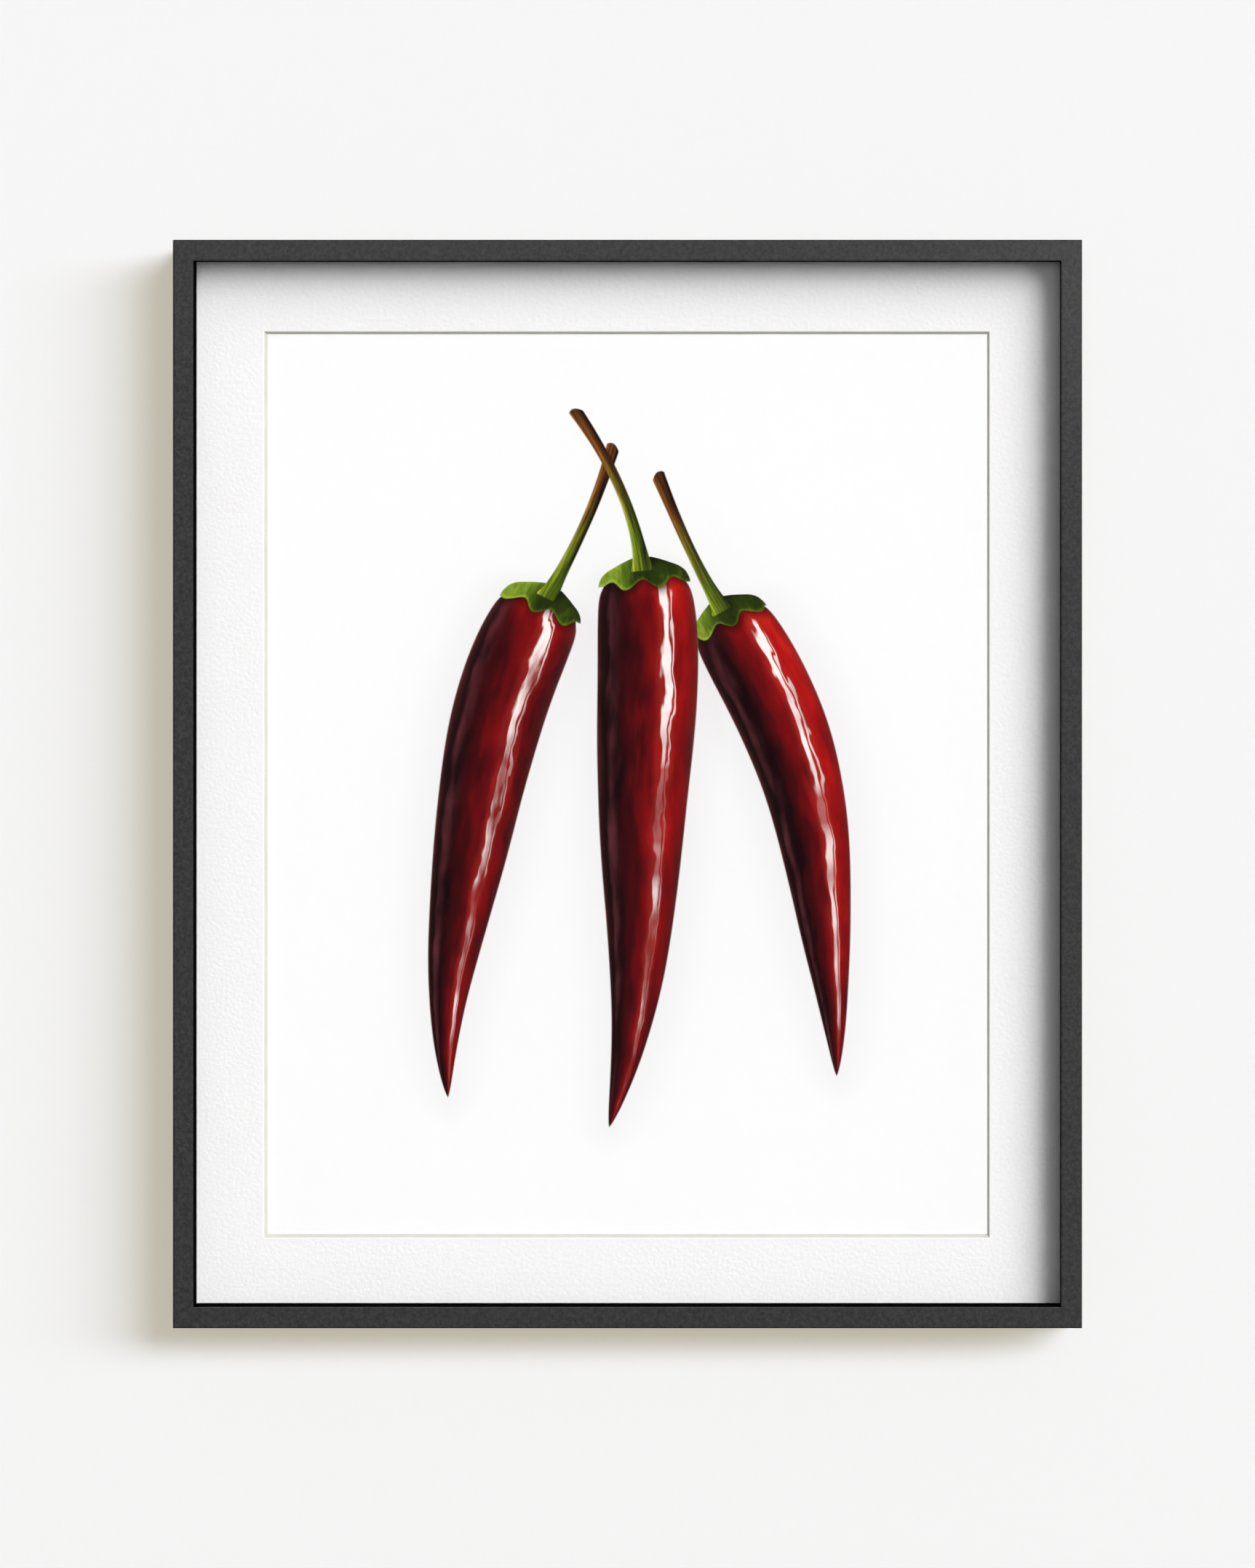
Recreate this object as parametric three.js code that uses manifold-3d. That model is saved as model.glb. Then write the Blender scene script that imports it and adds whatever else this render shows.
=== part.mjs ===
// Framed wall print: a mitred charcoal gallery frame that holds clear glazing, a bevelled
// window mat, a paper print and its boards, with the hardware that closes it and hangs it.
//
// Millimetres. X runs to the right, Y into the wall and Z up, so the picture faces -Y.
// The origin is where the nail carries the frame: on the wall, in the hanger's middle notch.

import * as THREE from 'three';
import { mergeVertices } from 'three/addons/utils/BufferGeometryUtils.js';
import Module from 'manifold-3d';

const wasm = await Module();
wasm.setup();

// ---- driving dimensions -------------------------------------------------------------------

// The frame: four rails of one L-shaped moulding, mitred at the corners.
const FRAME_WIDTH = 511;
const FRAME_HEIGHT = 612;
const FACE_WIDTH = 12;
const RAIL_DEPTH = 32;
const LIP_DEPTH = 4; // wood in front of the glazing
const REBATE_WALL = 5; // wood beside the glazing and the boards
const OUTER_ARRIS = 0.8; // radius of the rounded edges of the face
const INNER_ARRIS = 0.5;
const MITRE_GAP = 0.1; // trimmed off each mitred end

// Everything in the rebate is cut to one nominal size.
const SHEET_WIDTH = 500;
const SHEET_HEIGHT = 600;
const GLAZING_THICKNESS = 2;
const SPACER_DEPTH = 5.7;
const SPACER_WIDTH = 6.2;
const MAT_THICKNESS = 1.8;
const BOARD_THICKNESS = 2;
const PANEL_THICKNESS = 3;

// The window that is cut in the mat, measured at the print. Its 45 degree bevel opens forwards.
const WINDOW_WIDTH = 407;
const WINDOW_HEIGHT = 509;

// The print: a 17 x 22 inch sheet, hung from the board behind it by two strips of tape.
const PRINT_WIDTH = 432;
const PRINT_HEIGHT = 559;
const PRINT_THICKNESS = 0.5;
const TAPE_WIDTH = 30;
const TAPE_HEIGHT = 24;
const TAPE_THICKNESS = 0.2;
const TAPE_X = 120;

// Steel points, driven into the rebate wall, keep the boards in.
const POINTS_PER_RAIL = 3;
const POINT_PITCH_SHARE = 0.34; // of the rail's length, from one point to the next
const POINT_CORNER = 1;
const POINT_WIDTH = 7;
const POINT_REACH = 12; // over the back panel
const POINT_BITE = 4; // into the wood
const POINT_THICKNESS = 0.6;

// One V-shaped nail closes each mitre from behind.
const V_NAIL_LEG = 6.5;
const V_NAIL_THICKNESS = 0.5;
const V_NAIL_DEPTH = 10;
const V_NAIL_INSET = 2.5; // from the rail's outer side to the middle of the leg
const V_NAIL_SINK = 0.2; // below the wood's back

// The sawtooth hanger, screwed to the back of the top rail.
const HANGER_WIDTH = 48;
const HANGER_THICKNESS = 0.8;
const HANGER_CORNER = 1.5;
const HANGER_TOP_INSET = 0.4; // from the frame's top edge down to the plate
const NOTCH_DROP = 8.4; // from the frame's top edge down to the notches
const NOTCH_PITCH = 2.5;
const NOTCH_DEPTH = 2;
const NOTCH_COUNT = 11; // odd, so that one is on the frame's middle line
const SCREW_X = 19.5;
const SCREW_HEAD_RADIUS = 1.8;
const SCREW_HEAD_HEIGHT = 0.7;
const SCREW_SHANK_RADIUS = 0.8;
const SCREW_LENGTH = 8;
const SCREW_TIP = 1.6;
const DRIVE_WIDTH = 0.45;
const DRIVE_LENGTH = 2.1;
const DRIVE_DEPTH = 0.35;

// Two felt pads hold the lower corners off the wall.
const WALL_GAP = 2;
const PAD_LENGTH = 16;
const PAD_WIDTH = 4.4;
const PAD_INSET = 30; // from the frame's outer side to the pad's middle

const FIT = 0.1; // clearance between neighbours that touch
const ARC_STEPS = 4;
const ROUND_STEPS = 24;

// ---- places worked out from them ----------------------------------------------------------

const TOP_Z = NOTCH_DROP;
const BOTTOM_Z = TOP_Z - FRAME_HEIGHT;
const MIDDLE_Z = (TOP_Z + BOTTOM_Z) / 2;
const HALF_WIDTH = FRAME_WIDTH / 2;
const HALF_HEIGHT = FRAME_HEIGHT / 2;
const SIGHT_WIDTH = FRAME_WIDTH - 2 * FACE_WIDTH;
const SIGHT_HEIGHT = FRAME_HEIGHT - 2 * FACE_WIDTH;

// The front of each layer, from the face of the frame back to the wall at y = 0.
const RAIL_BACK_Y = -WALL_GAP;
const FACE_Y = RAIL_BACK_Y - RAIL_DEPTH;
const GLAZING_Y = FACE_Y + LIP_DEPTH + FIT;
const SPACER_Y = GLAZING_Y + GLAZING_THICKNESS + FIT;
const MAT_Y = SPACER_Y + SPACER_DEPTH + FIT;
const PRINT_Y = MAT_Y + MAT_THICKNESS + FIT;
const TAPE_Y = PRINT_Y + PRINT_THICKNESS + FIT;
const BOARD_Y = TAPE_Y + TAPE_THICKNESS + FIT;
const PANEL_Y = BOARD_Y + BOARD_THICKNESS + FIT;
const POINT_Y = PANEL_Y + PANEL_THICKNESS + FIT;
const HANGER_Y = RAIL_BACK_Y + FIT;
const SCREW_HEAD_Y = HANGER_Y + HANGER_THICKNESS + FIT;

// ---- materials ----------------------------------------------------------------------------

const charcoalPaint = { color: 0x3e3e40, roughness: 0.75, metalness: 0 };
const blackFoam = { color: 0x0b0b0b, roughness: 0.9, metalness: 0 };
const matBoard = { color: 0xf3f3f2, roughness: 0.95, metalness: 0 };
const ragPaper = { color: 0xfafafa, roughness: 0.9, metalness: 0 };
const linenTape = { color: 0xe8e4d8, roughness: 0.9, metalness: 0 };
const fibreboard = { color: 0x8f6f4e, roughness: 0.85, metalness: 0 };
const zincSteel = { color: 0xb4b6b8, roughness: 0.4, metalness: 1 };
const blackFelt = { color: 0x26221f, roughness: 1, metalness: 0 };
const clearAcrylic = {
  color: 0xffffff,
  roughness: 0.05,
  metalness: 0,
  transparent: true,
  opacity: 0.15,
};

// ---- helpers ------------------------------------------------------------------------------

const framedPrint = new THREE.Group();
framedPrint.name = 'framed_print';

// Everything is placed from the middle of the frame, so it all hangs in one group.
const aboutMiddle = new THREE.Group();
aboutMiddle.position.z = MIDDLE_Z;
framedPrint.add(aboutMiddle);

function addPiece(name, geometry, finish) {
  const mesh = new THREE.Mesh(geometry, new THREE.MeshStandardMaterial(finish));
  mesh.name = name;
  aboutMiddle.add(mesh);
}

function toSolid(geometry) {
  const bare = geometry.clone();
  bare.deleteAttribute('normal');
  bare.deleteAttribute('uv');
  const merged = mergeVertices(bare, 1e-4);
  return new wasm.Manifold(
    new wasm.Mesh({
      numProp: 3,
      vertProperties: new Float32Array(merged.attributes.position.array),
      triVerts: new Uint32Array(merged.index.array),
    }),
  );
}

function toGeometry(solid) {
  const mesh = solid.getMesh();
  const geometry = new THREE.BufferGeometry();
  geometry.setAttribute('position', new THREE.BufferAttribute(mesh.vertProperties, 3));
  geometry.setIndex(new THREE.BufferAttribute(mesh.triVerts, 1));
  geometry.computeVertexNormals();
  return geometry;
}

function cut(geometry, cutters) {
  const solid = cutters.reduce((left, cutter) => left.subtract(toSolid(cutter)), toSolid(geometry));
  return toGeometry(solid);
}

// A flat sheet of the given width, height and thickness, with its front face at frontY.
function sheet(width, height, thickness, frontY) {
  const geometry = new THREE.BoxGeometry(width, thickness, height);
  geometry.translate(0, frontY + thickness / 2, 0);
  return geometry;
}

// An outline drawn in x and z, given thickness from frontY backwards.
function plate(shape, thickness, frontY) {
  const geometry = new THREE.ExtrudeGeometry(shape, {
    depth: thickness,
    bevelEnabled: false,
    curveSegments: ARC_STEPS,
  });
  geometry.rotateX(Math.PI / 2);
  geometry.translate(0, frontY + thickness, 0);
  return geometry;
}

function polygon(corners) {
  return new THREE.Shape(corners.map(([x, z]) => new THREE.Vector2(x, z)));
}

// The four rails, each by the turn that brings its outer side from the top to its own side.
const RAILS = [
  { side: 'top', turn: 0, length: FRAME_WIDTH, fromMiddle: HALF_HEIGHT },
  { side: 'left', turn: -Math.PI / 2, length: FRAME_HEIGHT, fromMiddle: HALF_WIDTH },
  { side: 'bottom', turn: Math.PI, length: FRAME_WIDTH, fromMiddle: HALF_HEIGHT },
  { side: 'right', turn: Math.PI / 2, length: FRAME_HEIGHT, fromMiddle: HALF_WIDTH },
];

// Quarter turns about Y, with the coordinates swapped so that no rounding creeps in.
function turned(geometry, turn) {
  const quarters = Math.round(turn / (Math.PI / 2));
  const cosine = [1, 0, -1, 0][(quarters + 4) % 4];
  const sine = [0, 1, 0, -1][(quarters + 4) % 4];
  const matrix = new THREE.Matrix4().set(
    cosine, 0, sine, 0,
    0, 1, 0, 0,
    -sine, 0, cosine, 0,
    0, 0, 0, 1,
  );
  return geometry.clone().applyMatrix4(matrix);
}

// ---- the frame ----------------------------------------------------------------------------

// The moulding's section. inward is measured from the rail's outer side, y from the wall.
function railSection() {
  const section = new THREE.Shape();
  section.moveTo(0, RAIL_BACK_Y);
  section.lineTo(0, FACE_Y + OUTER_ARRIS);
  section.absarc(OUTER_ARRIS, FACE_Y + OUTER_ARRIS, OUTER_ARRIS, Math.PI, 1.5 * Math.PI, false);
  section.lineTo(FACE_WIDTH - INNER_ARRIS, FACE_Y);
  section.absarc(
    FACE_WIDTH - INNER_ARRIS, FACE_Y + INNER_ARRIS, INNER_ARRIS, 1.5 * Math.PI, 2 * Math.PI, false,
  );
  section.lineTo(FACE_WIDTH, FACE_Y + LIP_DEPTH);
  section.lineTo(REBATE_WALL, FACE_Y + LIP_DEPTH);
  section.lineTo(REBATE_WALL, RAIL_BACK_Y);
  section.closePath();
  return section;
}

// The top rail of a frame of that length: the section runs along X, and each end is drawn in
// by its distance from the outer side, which makes the mitre.
function mitredRail(length, fromMiddle) {
  const geometry = new THREE.ExtrudeGeometry(railSection(), {
    depth: 1,
    steps: 1,
    bevelEnabled: false,
    curveSegments: ARC_STEPS,
  });
  const corners = geometry.attributes.position;
  for (let i = 0; i < corners.count; i += 1) {
    const inward = corners.getX(i);
    const y = corners.getY(i);
    const end = corners.getZ(i) > 0.5 ? 1 : -1;
    corners.setXYZ(i, end * (length / 2 - inward - MITRE_GAP), y, fromMiddle - inward);
  }
  geometry.computeVertexNormals();
  return geometry;
}

// A framer's point for the top rail: a pointed strip that lies over the back panel.
function point(x, fromMiddle, clearance) {
  const half = POINT_WIDTH / 2 + clearance;
  const wood = fromMiddle - REBATE_WALL;
  const tip = wood + POINT_BITE + clearance;
  const shape = polygon([
    [x - half + POINT_CORNER, wood - POINT_REACH],
    [x + half - POINT_CORNER, wood - POINT_REACH],
    [x + half, wood - POINT_REACH + POINT_CORNER],
    [x + half, wood + POINT_BITE / 2],
    [x, tip],
    [x - half, wood + POINT_BITE / 2],
    [x - half, wood - POINT_REACH + POINT_CORNER],
  ]);
  return plate(shape, POINT_THICKNESS + 2 * clearance, POINT_Y - clearance);
}

function pointPlaces(length) {
  const middle = (POINTS_PER_RAIL - 1) / 2;
  return Array.from({ length: POINTS_PER_RAIL }, (_, i) => (i - middle) * POINT_PITCH_SHARE * length);
}

// A V-nail at one corner. Its two legs run along the two rails, and its bend is on the mitre.
function vNail(signX, signZ, clearance) {
  const near = V_NAIL_INSET - V_NAIL_THICKNESS / 2 - clearance;
  const far = V_NAIL_INSET + V_NAIL_THICKNESS / 2 + clearance;
  const end = V_NAIL_INSET + V_NAIL_LEG + clearance;
  const corners = [[near, near], [end, near], [end, far], [far, far], [far, end], [near, end]].map(
    ([inX, inZ]) => [signX * (HALF_WIDTH - inX), signZ * (HALF_HEIGHT - inZ)],
  );
  const depth = V_NAIL_DEPTH + V_NAIL_SINK + clearance;
  const sink = clearance > 0 ? -1 : V_NAIL_SINK; // a slot runs out through the wood's back
  return plate(polygon(corners), depth - sink, RAIL_BACK_Y - depth);
}

const CORNERS = [
  { name: 'top_left', signX: -1, signZ: 1 },
  { name: 'top_right', signX: 1, signZ: 1 },
  { name: 'bottom_left', signX: -1, signZ: -1 },
  { name: 'bottom_right', signX: 1, signZ: -1 },
];

function pilotHole(x) {
  const geometry = new THREE.CylinderGeometry(
    SCREW_SHANK_RADIUS + FIT, SCREW_SHANK_RADIUS + FIT, SCREW_LENGTH + 2, ROUND_STEPS,
  );
  geometry.translate(x, RAIL_BACK_Y - SCREW_LENGTH / 2, screwZ());
  return geometry;
}

function addFrame() {
  const nailSlots = CORNERS.map(({ signX, signZ }) => vNail(signX, signZ, FIT));
  for (const { side, turn, length, fromMiddle } of RAILS) {
    const places = pointPlaces(length);
    const pointSlots = places.map((x) => turned(point(x, fromMiddle, FIT), turn));
    const screwHoles = side === 'top' ? [-SCREW_X, SCREW_X].map(pilotHole) : [];
    const rail = turned(mitredRail(length, fromMiddle), turn);
    addPiece(`rail_${side}`, cut(rail, [...pointSlots, ...nailSlots, ...screwHoles]), charcoalPaint);
    places.forEach((x, i) => {
      addPiece(`point_${side}_${i + 1}`, turned(point(x, fromMiddle, 0), turn), zincSteel);
    });
  }
  for (const { name, signX, signZ } of CORNERS) {
    addPiece(`v_nail_${name}`, vNail(signX, signZ, 0), zincSteel);
  }
}

// ---- what the rebate holds ----------------------------------------------------------------

// Spacers lie behind the glazing, flush with the lip. The upright ones fit between the others.
function addSpacers() {
  const level = new THREE.BoxGeometry(SIGHT_WIDTH + 2 * SPACER_WIDTH, SPACER_DEPTH, SPACER_WIDTH);
  const upright = new THREE.BoxGeometry(SPACER_WIDTH, SPACER_DEPTH, SIGHT_HEIGHT - 2 * FIT);
  const y = SPACER_Y + SPACER_DEPTH / 2;
  const x = SIGHT_WIDTH / 2 + SPACER_WIDTH / 2;
  const z = SIGHT_HEIGHT / 2 + SPACER_WIDTH / 2;
  addPiece('spacer_top', level.clone().translate(0, y, z), blackFoam);
  addPiece('spacer_bottom', level.clone().translate(0, y, -z), blackFoam);
  addPiece('spacer_left', upright.clone().translate(-x, y, 0), blackFoam);
  addPiece('spacer_right', upright.clone().translate(x, y, 0), blackFoam);
}

// The mat's window is cut by a block whose sides lean out by 45 degrees towards the front.
function windowMat() {
  const overrun = 1; // the cutter passes both faces of the board
  const depth = MAT_THICKNESS + 2 * overrun;
  const cutter = new THREE.BoxGeometry(WINDOW_WIDTH, depth, WINDOW_HEIGHT);
  cutter.translate(0, MAT_Y + MAT_THICKNESS / 2, 0);
  const corners = cutter.attributes.position;
  for (let i = 0; i < corners.count; i += 1) {
    const outward = MAT_Y + MAT_THICKNESS - corners.getY(i);
    corners.setX(i, corners.getX(i) + Math.sign(corners.getX(i)) * outward);
    corners.setZ(i, corners.getZ(i) + Math.sign(corners.getZ(i)) * outward);
  }
  return cut(sheet(SHEET_WIDTH, SHEET_HEIGHT, MAT_THICKNESS, MAT_Y), [cutter]);
}

function addLayers() {
  addPiece('glazing', sheet(SHEET_WIDTH, SHEET_HEIGHT, GLAZING_THICKNESS, GLAZING_Y), clearAcrylic);
  addSpacers();
  addPiece('window_mat', windowMat(), matBoard);
  addPiece('print_sheet', sheet(PRINT_WIDTH, PRINT_HEIGHT, PRINT_THICKNESS, PRINT_Y), ragPaper);
  for (const [side, x] of [['left', -TAPE_X], ['right', TAPE_X]]) {
    const strip = sheet(TAPE_WIDTH, TAPE_HEIGHT, TAPE_THICKNESS, TAPE_Y);
    addPiece(`hinge_tape_${side}`, strip.translate(x, 0, PRINT_HEIGHT / 2), linenTape);
  }
  addPiece('mount_board', sheet(SHEET_WIDTH, SHEET_HEIGHT, BOARD_THICKNESS, BOARD_Y), matBoard);
  addPiece('back_panel', sheet(SHEET_WIDTH, SHEET_HEIGHT, PANEL_THICKNESS, PANEL_Y), fibreboard);
}

// ---- what hangs it ------------------------------------------------------------------------

function screwZ() {
  return HALF_HEIGHT - REBATE_WALL / 2;
}

// The plate's lower edge is a row of notches, one of them on the frame's middle line.
function hangerPlate() {
  const notchZ = HALF_HEIGHT - NOTCH_DROP;
  const topZ = HALF_HEIGHT - HANGER_TOP_INSET;
  const footZ = notchZ - NOTCH_DEPTH;
  const halfRow = (NOTCH_COUNT * NOTCH_PITCH) / 2;
  const cornerX = HANGER_WIDTH / 2 - HANGER_CORNER;
  const outline = new THREE.Shape();
  outline.absarc(-cornerX, topZ - HANGER_CORNER, HANGER_CORNER, 0.5 * Math.PI, Math.PI, false);
  outline.absarc(-cornerX, footZ + HANGER_CORNER, HANGER_CORNER, Math.PI, 1.5 * Math.PI, false);
  outline.lineTo(-halfRow, footZ);
  for (let notch = 0; notch < NOTCH_COUNT; notch += 1) {
    const x = -halfRow + notch * NOTCH_PITCH;
    outline.lineTo(x + NOTCH_PITCH / 2, notchZ);
    outline.lineTo(x + NOTCH_PITCH, footZ);
  }
  outline.absarc(cornerX, footZ + HANGER_CORNER, HANGER_CORNER, 1.5 * Math.PI, 2 * Math.PI, false);
  outline.absarc(cornerX, topZ - HANGER_CORNER, HANGER_CORNER, 0, 0.5 * Math.PI, false);
  for (const x of [-SCREW_X, SCREW_X]) {
    outline.holes.push(new THREE.Path().absarc(x, screwZ(), SCREW_SHANK_RADIUS + FIT, 0, 2 * Math.PI));
  }
  return plate(outline, HANGER_THICKNESS, HANGER_Y);
}

// A small round-headed screw with a cross recess, driven forwards into the top rail.
function screw(x) {
  const profile = [new THREE.Vector2(0, SCREW_HEAD_Y - SCREW_LENGTH)];
  profile.push(new THREE.Vector2(SCREW_SHANK_RADIUS, SCREW_HEAD_Y - SCREW_LENGTH + SCREW_TIP));
  profile.push(new THREE.Vector2(SCREW_SHANK_RADIUS, SCREW_HEAD_Y));
  for (let step = 0; step < ARC_STEPS; step += 1) {
    const angle = (step / ARC_STEPS) * (Math.PI / 2);
    const radius = SCREW_HEAD_RADIUS * Math.cos(angle);
    profile.push(new THREE.Vector2(radius, SCREW_HEAD_Y + SCREW_HEAD_HEIGHT * Math.sin(angle)));
  }
  profile.push(new THREE.Vector2(0, SCREW_HEAD_Y + SCREW_HEAD_HEIGHT));
  const turning = new THREE.LatheGeometry(profile, ROUND_STEPS);
  const across = new THREE.BoxGeometry(DRIVE_LENGTH, 2 * DRIVE_DEPTH, DRIVE_WIDTH);
  const upright = new THREE.BoxGeometry(DRIVE_WIDTH, 2 * DRIVE_DEPTH, DRIVE_LENGTH);
  for (const slot of [across, upright]) {
    slot.translate(0, SCREW_HEAD_Y + SCREW_HEAD_HEIGHT, 0);
  }
  return cut(turning, [across, upright]).translate(x, 0, screwZ());
}

function wallPad(x) {
  const round = PAD_WIDTH / 2;
  const straight = PAD_LENGTH / 2 - round;
  const outline = new THREE.Shape();
  outline.absarc(x + straight, 0, round, -Math.PI / 2, Math.PI / 2, false);
  outline.absarc(x - straight, 0, round, Math.PI / 2, 1.5 * Math.PI, false);
  const pad = plate(outline, WALL_GAP - FIT, RAIL_BACK_Y + FIT);
  return pad.translate(0, 0, -HALF_HEIGHT + REBATE_WALL / 2);
}

function addHardware() {
  addPiece('hanger', hangerPlate(), zincSteel);
  for (const [side, sign] of [['left', -1], ['right', 1]]) {
    addPiece(`hanger_screw_${side}`, screw(sign * SCREW_X), zincSteel);
    addPiece(`wall_pad_${side}`, wallPad(sign * (HALF_WIDTH - PAD_INSET)), blackFelt);
  }
}

addFrame();
addLayers();
addHardware();

export default framedPrint;
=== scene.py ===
# %% [markdown]
# # A framed print for the wall
#
# The object is an upright picture frame: four mitred charcoal rails, a clear sheet of acrylic,
# black spacers, a white window mat and a paper print, closed by a fibreboard panel and hung from
# a sawtooth hanger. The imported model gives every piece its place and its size, in metres, with X
# to the right, Y into the wall and Z up. This file gives the pieces their finish, and models
# again the ones whose fine shape shows: the rails, the mat, the spacers, the points, the hanger,
# the V-nails and the felt pads.

# %% Load the frame and measure it
import math
from functools import partial

import bmesh
import bpy
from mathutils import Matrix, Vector, noise


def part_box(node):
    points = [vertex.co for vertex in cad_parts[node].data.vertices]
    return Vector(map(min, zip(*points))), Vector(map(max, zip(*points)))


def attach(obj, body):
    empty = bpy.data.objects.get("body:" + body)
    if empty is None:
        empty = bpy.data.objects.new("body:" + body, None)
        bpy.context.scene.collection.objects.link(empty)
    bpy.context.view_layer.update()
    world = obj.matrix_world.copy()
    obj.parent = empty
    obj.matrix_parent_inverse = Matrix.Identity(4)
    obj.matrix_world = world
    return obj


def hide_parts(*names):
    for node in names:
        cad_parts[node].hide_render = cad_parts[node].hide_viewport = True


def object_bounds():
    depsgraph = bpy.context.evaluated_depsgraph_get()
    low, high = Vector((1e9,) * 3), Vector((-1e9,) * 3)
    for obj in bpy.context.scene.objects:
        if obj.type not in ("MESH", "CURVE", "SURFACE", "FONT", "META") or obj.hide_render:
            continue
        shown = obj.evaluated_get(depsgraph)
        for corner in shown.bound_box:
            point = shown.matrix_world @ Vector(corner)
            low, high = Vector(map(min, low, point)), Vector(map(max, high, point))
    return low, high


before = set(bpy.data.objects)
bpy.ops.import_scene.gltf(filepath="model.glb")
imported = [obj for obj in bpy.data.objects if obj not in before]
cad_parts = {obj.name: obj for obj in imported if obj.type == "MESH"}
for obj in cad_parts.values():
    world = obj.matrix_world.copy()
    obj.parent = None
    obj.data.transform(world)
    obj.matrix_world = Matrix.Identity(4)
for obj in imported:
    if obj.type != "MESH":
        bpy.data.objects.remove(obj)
cad_low, cad_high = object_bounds()

MM = 0.001
ROOT = "root"

rail_low, rail_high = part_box("rail_left")
FACE_Y = rail_low.y
RAIL_BACK_Y = rail_high.y
FACE_WIDTH = rail_high.x - rail_low.x
MIDDLE = Vector((0.0, 0.0, (cad_low.z + cad_high.z) / 2))
HALF_WIDTH = cad_high.x
HALF_HEIGHT = cad_high.z - MIDDLE.z
print(f"frame {2000 * HALF_WIDTH:.0f} x {2000 * HALF_HEIGHT:.0f} mm, face {1000 * FACE_WIDTH:.1f} mm")

# %% [markdown]
# ## Helpers for every finish
#
# Finishes are picked as sRGB hex values, the way a paint chart gives them, but shaders work in
# linear light, so one function turns one into the other. The second helper adds a shader node. It
# takes the node's own settings by name and feeds its sockets in order, each from a number, a
# colour or another node. A node that is passed as a feed stands for its first live output. A
# material starts as an empty tree with an "add" of its own, which is add_node for that tree, and
# is closed with its last shader and its output.

# %% Colour and node helpers


def linear(hex_colour):
    """Turns "#rrggbb" in sRGB into the linear RGBA that Blender's sockets take."""
    channels = [int(hex_colour[i : i + 2], 16) / 255 for i in (1, 3, 5)]
    return tuple(c / 12.92 if c <= 0.04045 else ((c + 0.055) / 1.055) ** 2.4 for c in channels) + (1.0,)


def add_node(tree, kind, *feeds, sockets=None, **settings):
    """Adds a node with its settings, and feeds its sockets by number or, in sockets, by name."""
    node = tree.nodes.new(kind)
    for name, value in settings.items():
        setattr(node, name, value)
    for key, value in [*enumerate(feeds), *(sockets or {}).items()]:
        if isinstance(value, bpy.types.Node):
            value = next(socket for socket in value.outputs if socket.enabled)
        if isinstance(value, bpy.types.NodeSocket):
            tree.links.new(value, node.inputs[key])
        else:
            node.inputs[key].default_value = value
    return node


PRINCIPLED = "ShaderNodeBsdfPrincipled"
MATH = "ShaderNodeMath"
VECTOR = "ShaderNodeVectorMath"
NOISE = "ShaderNodeTexNoise"
CURVE = "ShaderNodeFloatCurve"
RAMP = "ShaderNodeValToRGB"
RANGE = "ShaderNodeMapRange"
BUMP = "ShaderNodeBump"
BLEND = "ShaderNodeMix"
SHARE, UNDER, OVER = 0, 6, 7  # the sockets of a blend of colours, by number
WHITE = linear("#ffffff")

# %% Ramps and whole materials


def set_stops(ramp, stops):
    """Gives a colour ramp its stops, each a position and an sRGB hex value, and returns it."""
    elements = ramp.color_ramp.elements
    while len(elements) < len(stops):
        elements.new(0.5)
    for element, (position, hex_colour) in zip(elements, stops):
        element.position = position
        element.color = linear(hex_colour)
    return ramp


def new_material(name):
    """A material with an empty tree, and the function that adds nodes to it."""
    material = bpy.data.materials.new(name)
    material.use_nodes = True
    material.node_tree.nodes.clear()
    return material, partial(add_node, material.node_tree)


def close_material(material, kind, *feeds, **settings):
    """Ends a material in a shader of this kind, and says how many nodes it took."""
    tree = material.node_tree
    shader = add_node(tree, kind, *feeds, **settings)
    add_node(tree, "ShaderNodeOutputMaterial", shader)
    print(f"{material.name}: {len(tree.nodes)} nodes")
    return material


# %% [markdown]
# ## Charcoal lacquer on the rails
#
# The moulding is wood, sprayed with a matt charcoal lacquer and then rubbed back, which leaves a
# soft mottle of one to three millimetres and a fine tooth, like thin leather. The mottle could be
# an image, but noise in object space needs no unwrapping and runs on round the mitres. Two sizes
# of noise make it: the large one shifts the colour and the gloss, and the fine one only the bump.

# %% Charcoal lacquer


def charcoal_lacquer():
    """To the eye it is nearly black, with a low broad sheen that breaks up over the mottle."""
    material, add = new_material("charcoal_lacquer_rubbed")
    place = add("ShaderNodeTexCoord").outputs["Object"]
    mottle_width = 2.4 * MM
    grain_width = 0.7 * MM
    mottle = add(NOISE, place, sockets={"Scale": 1 / mottle_width, "Detail": 3.0, "Roughness": 0.6})
    grain = add(NOISE, place, sockets={"Scale": 1 / grain_width, "Detail": 2.0, "Roughness": 0.7})
    both = add(MATH, mottle, grain, operation="ADD")
    tone = add(RANGE, both, 0.7, 1.3)
    colour = set_stops(add(RAMP, tone), [(0.15, "#252525"), (0.5, "#2e2e2e"), (0.85, "#383838")])
    gloss = add(RANGE, mottle, 0.3, 0.7, 0.37, 0.45)
    fine = add(BUMP, sockets={"Height": grain, "Distance": 0.08 * MM, "Strength": 0.5})
    bump = add(BUMP, sockets={"Height": mottle, "Distance": 0.25 * MM, "Strength": 0.5, "Normal": fine})
    surface = {"Base Color": colour, "Roughness": gloss, "Normal": bump}
    return close_material(material, PRINCIPLED, sockets=surface)


lacquer = charcoal_lacquer()

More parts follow.
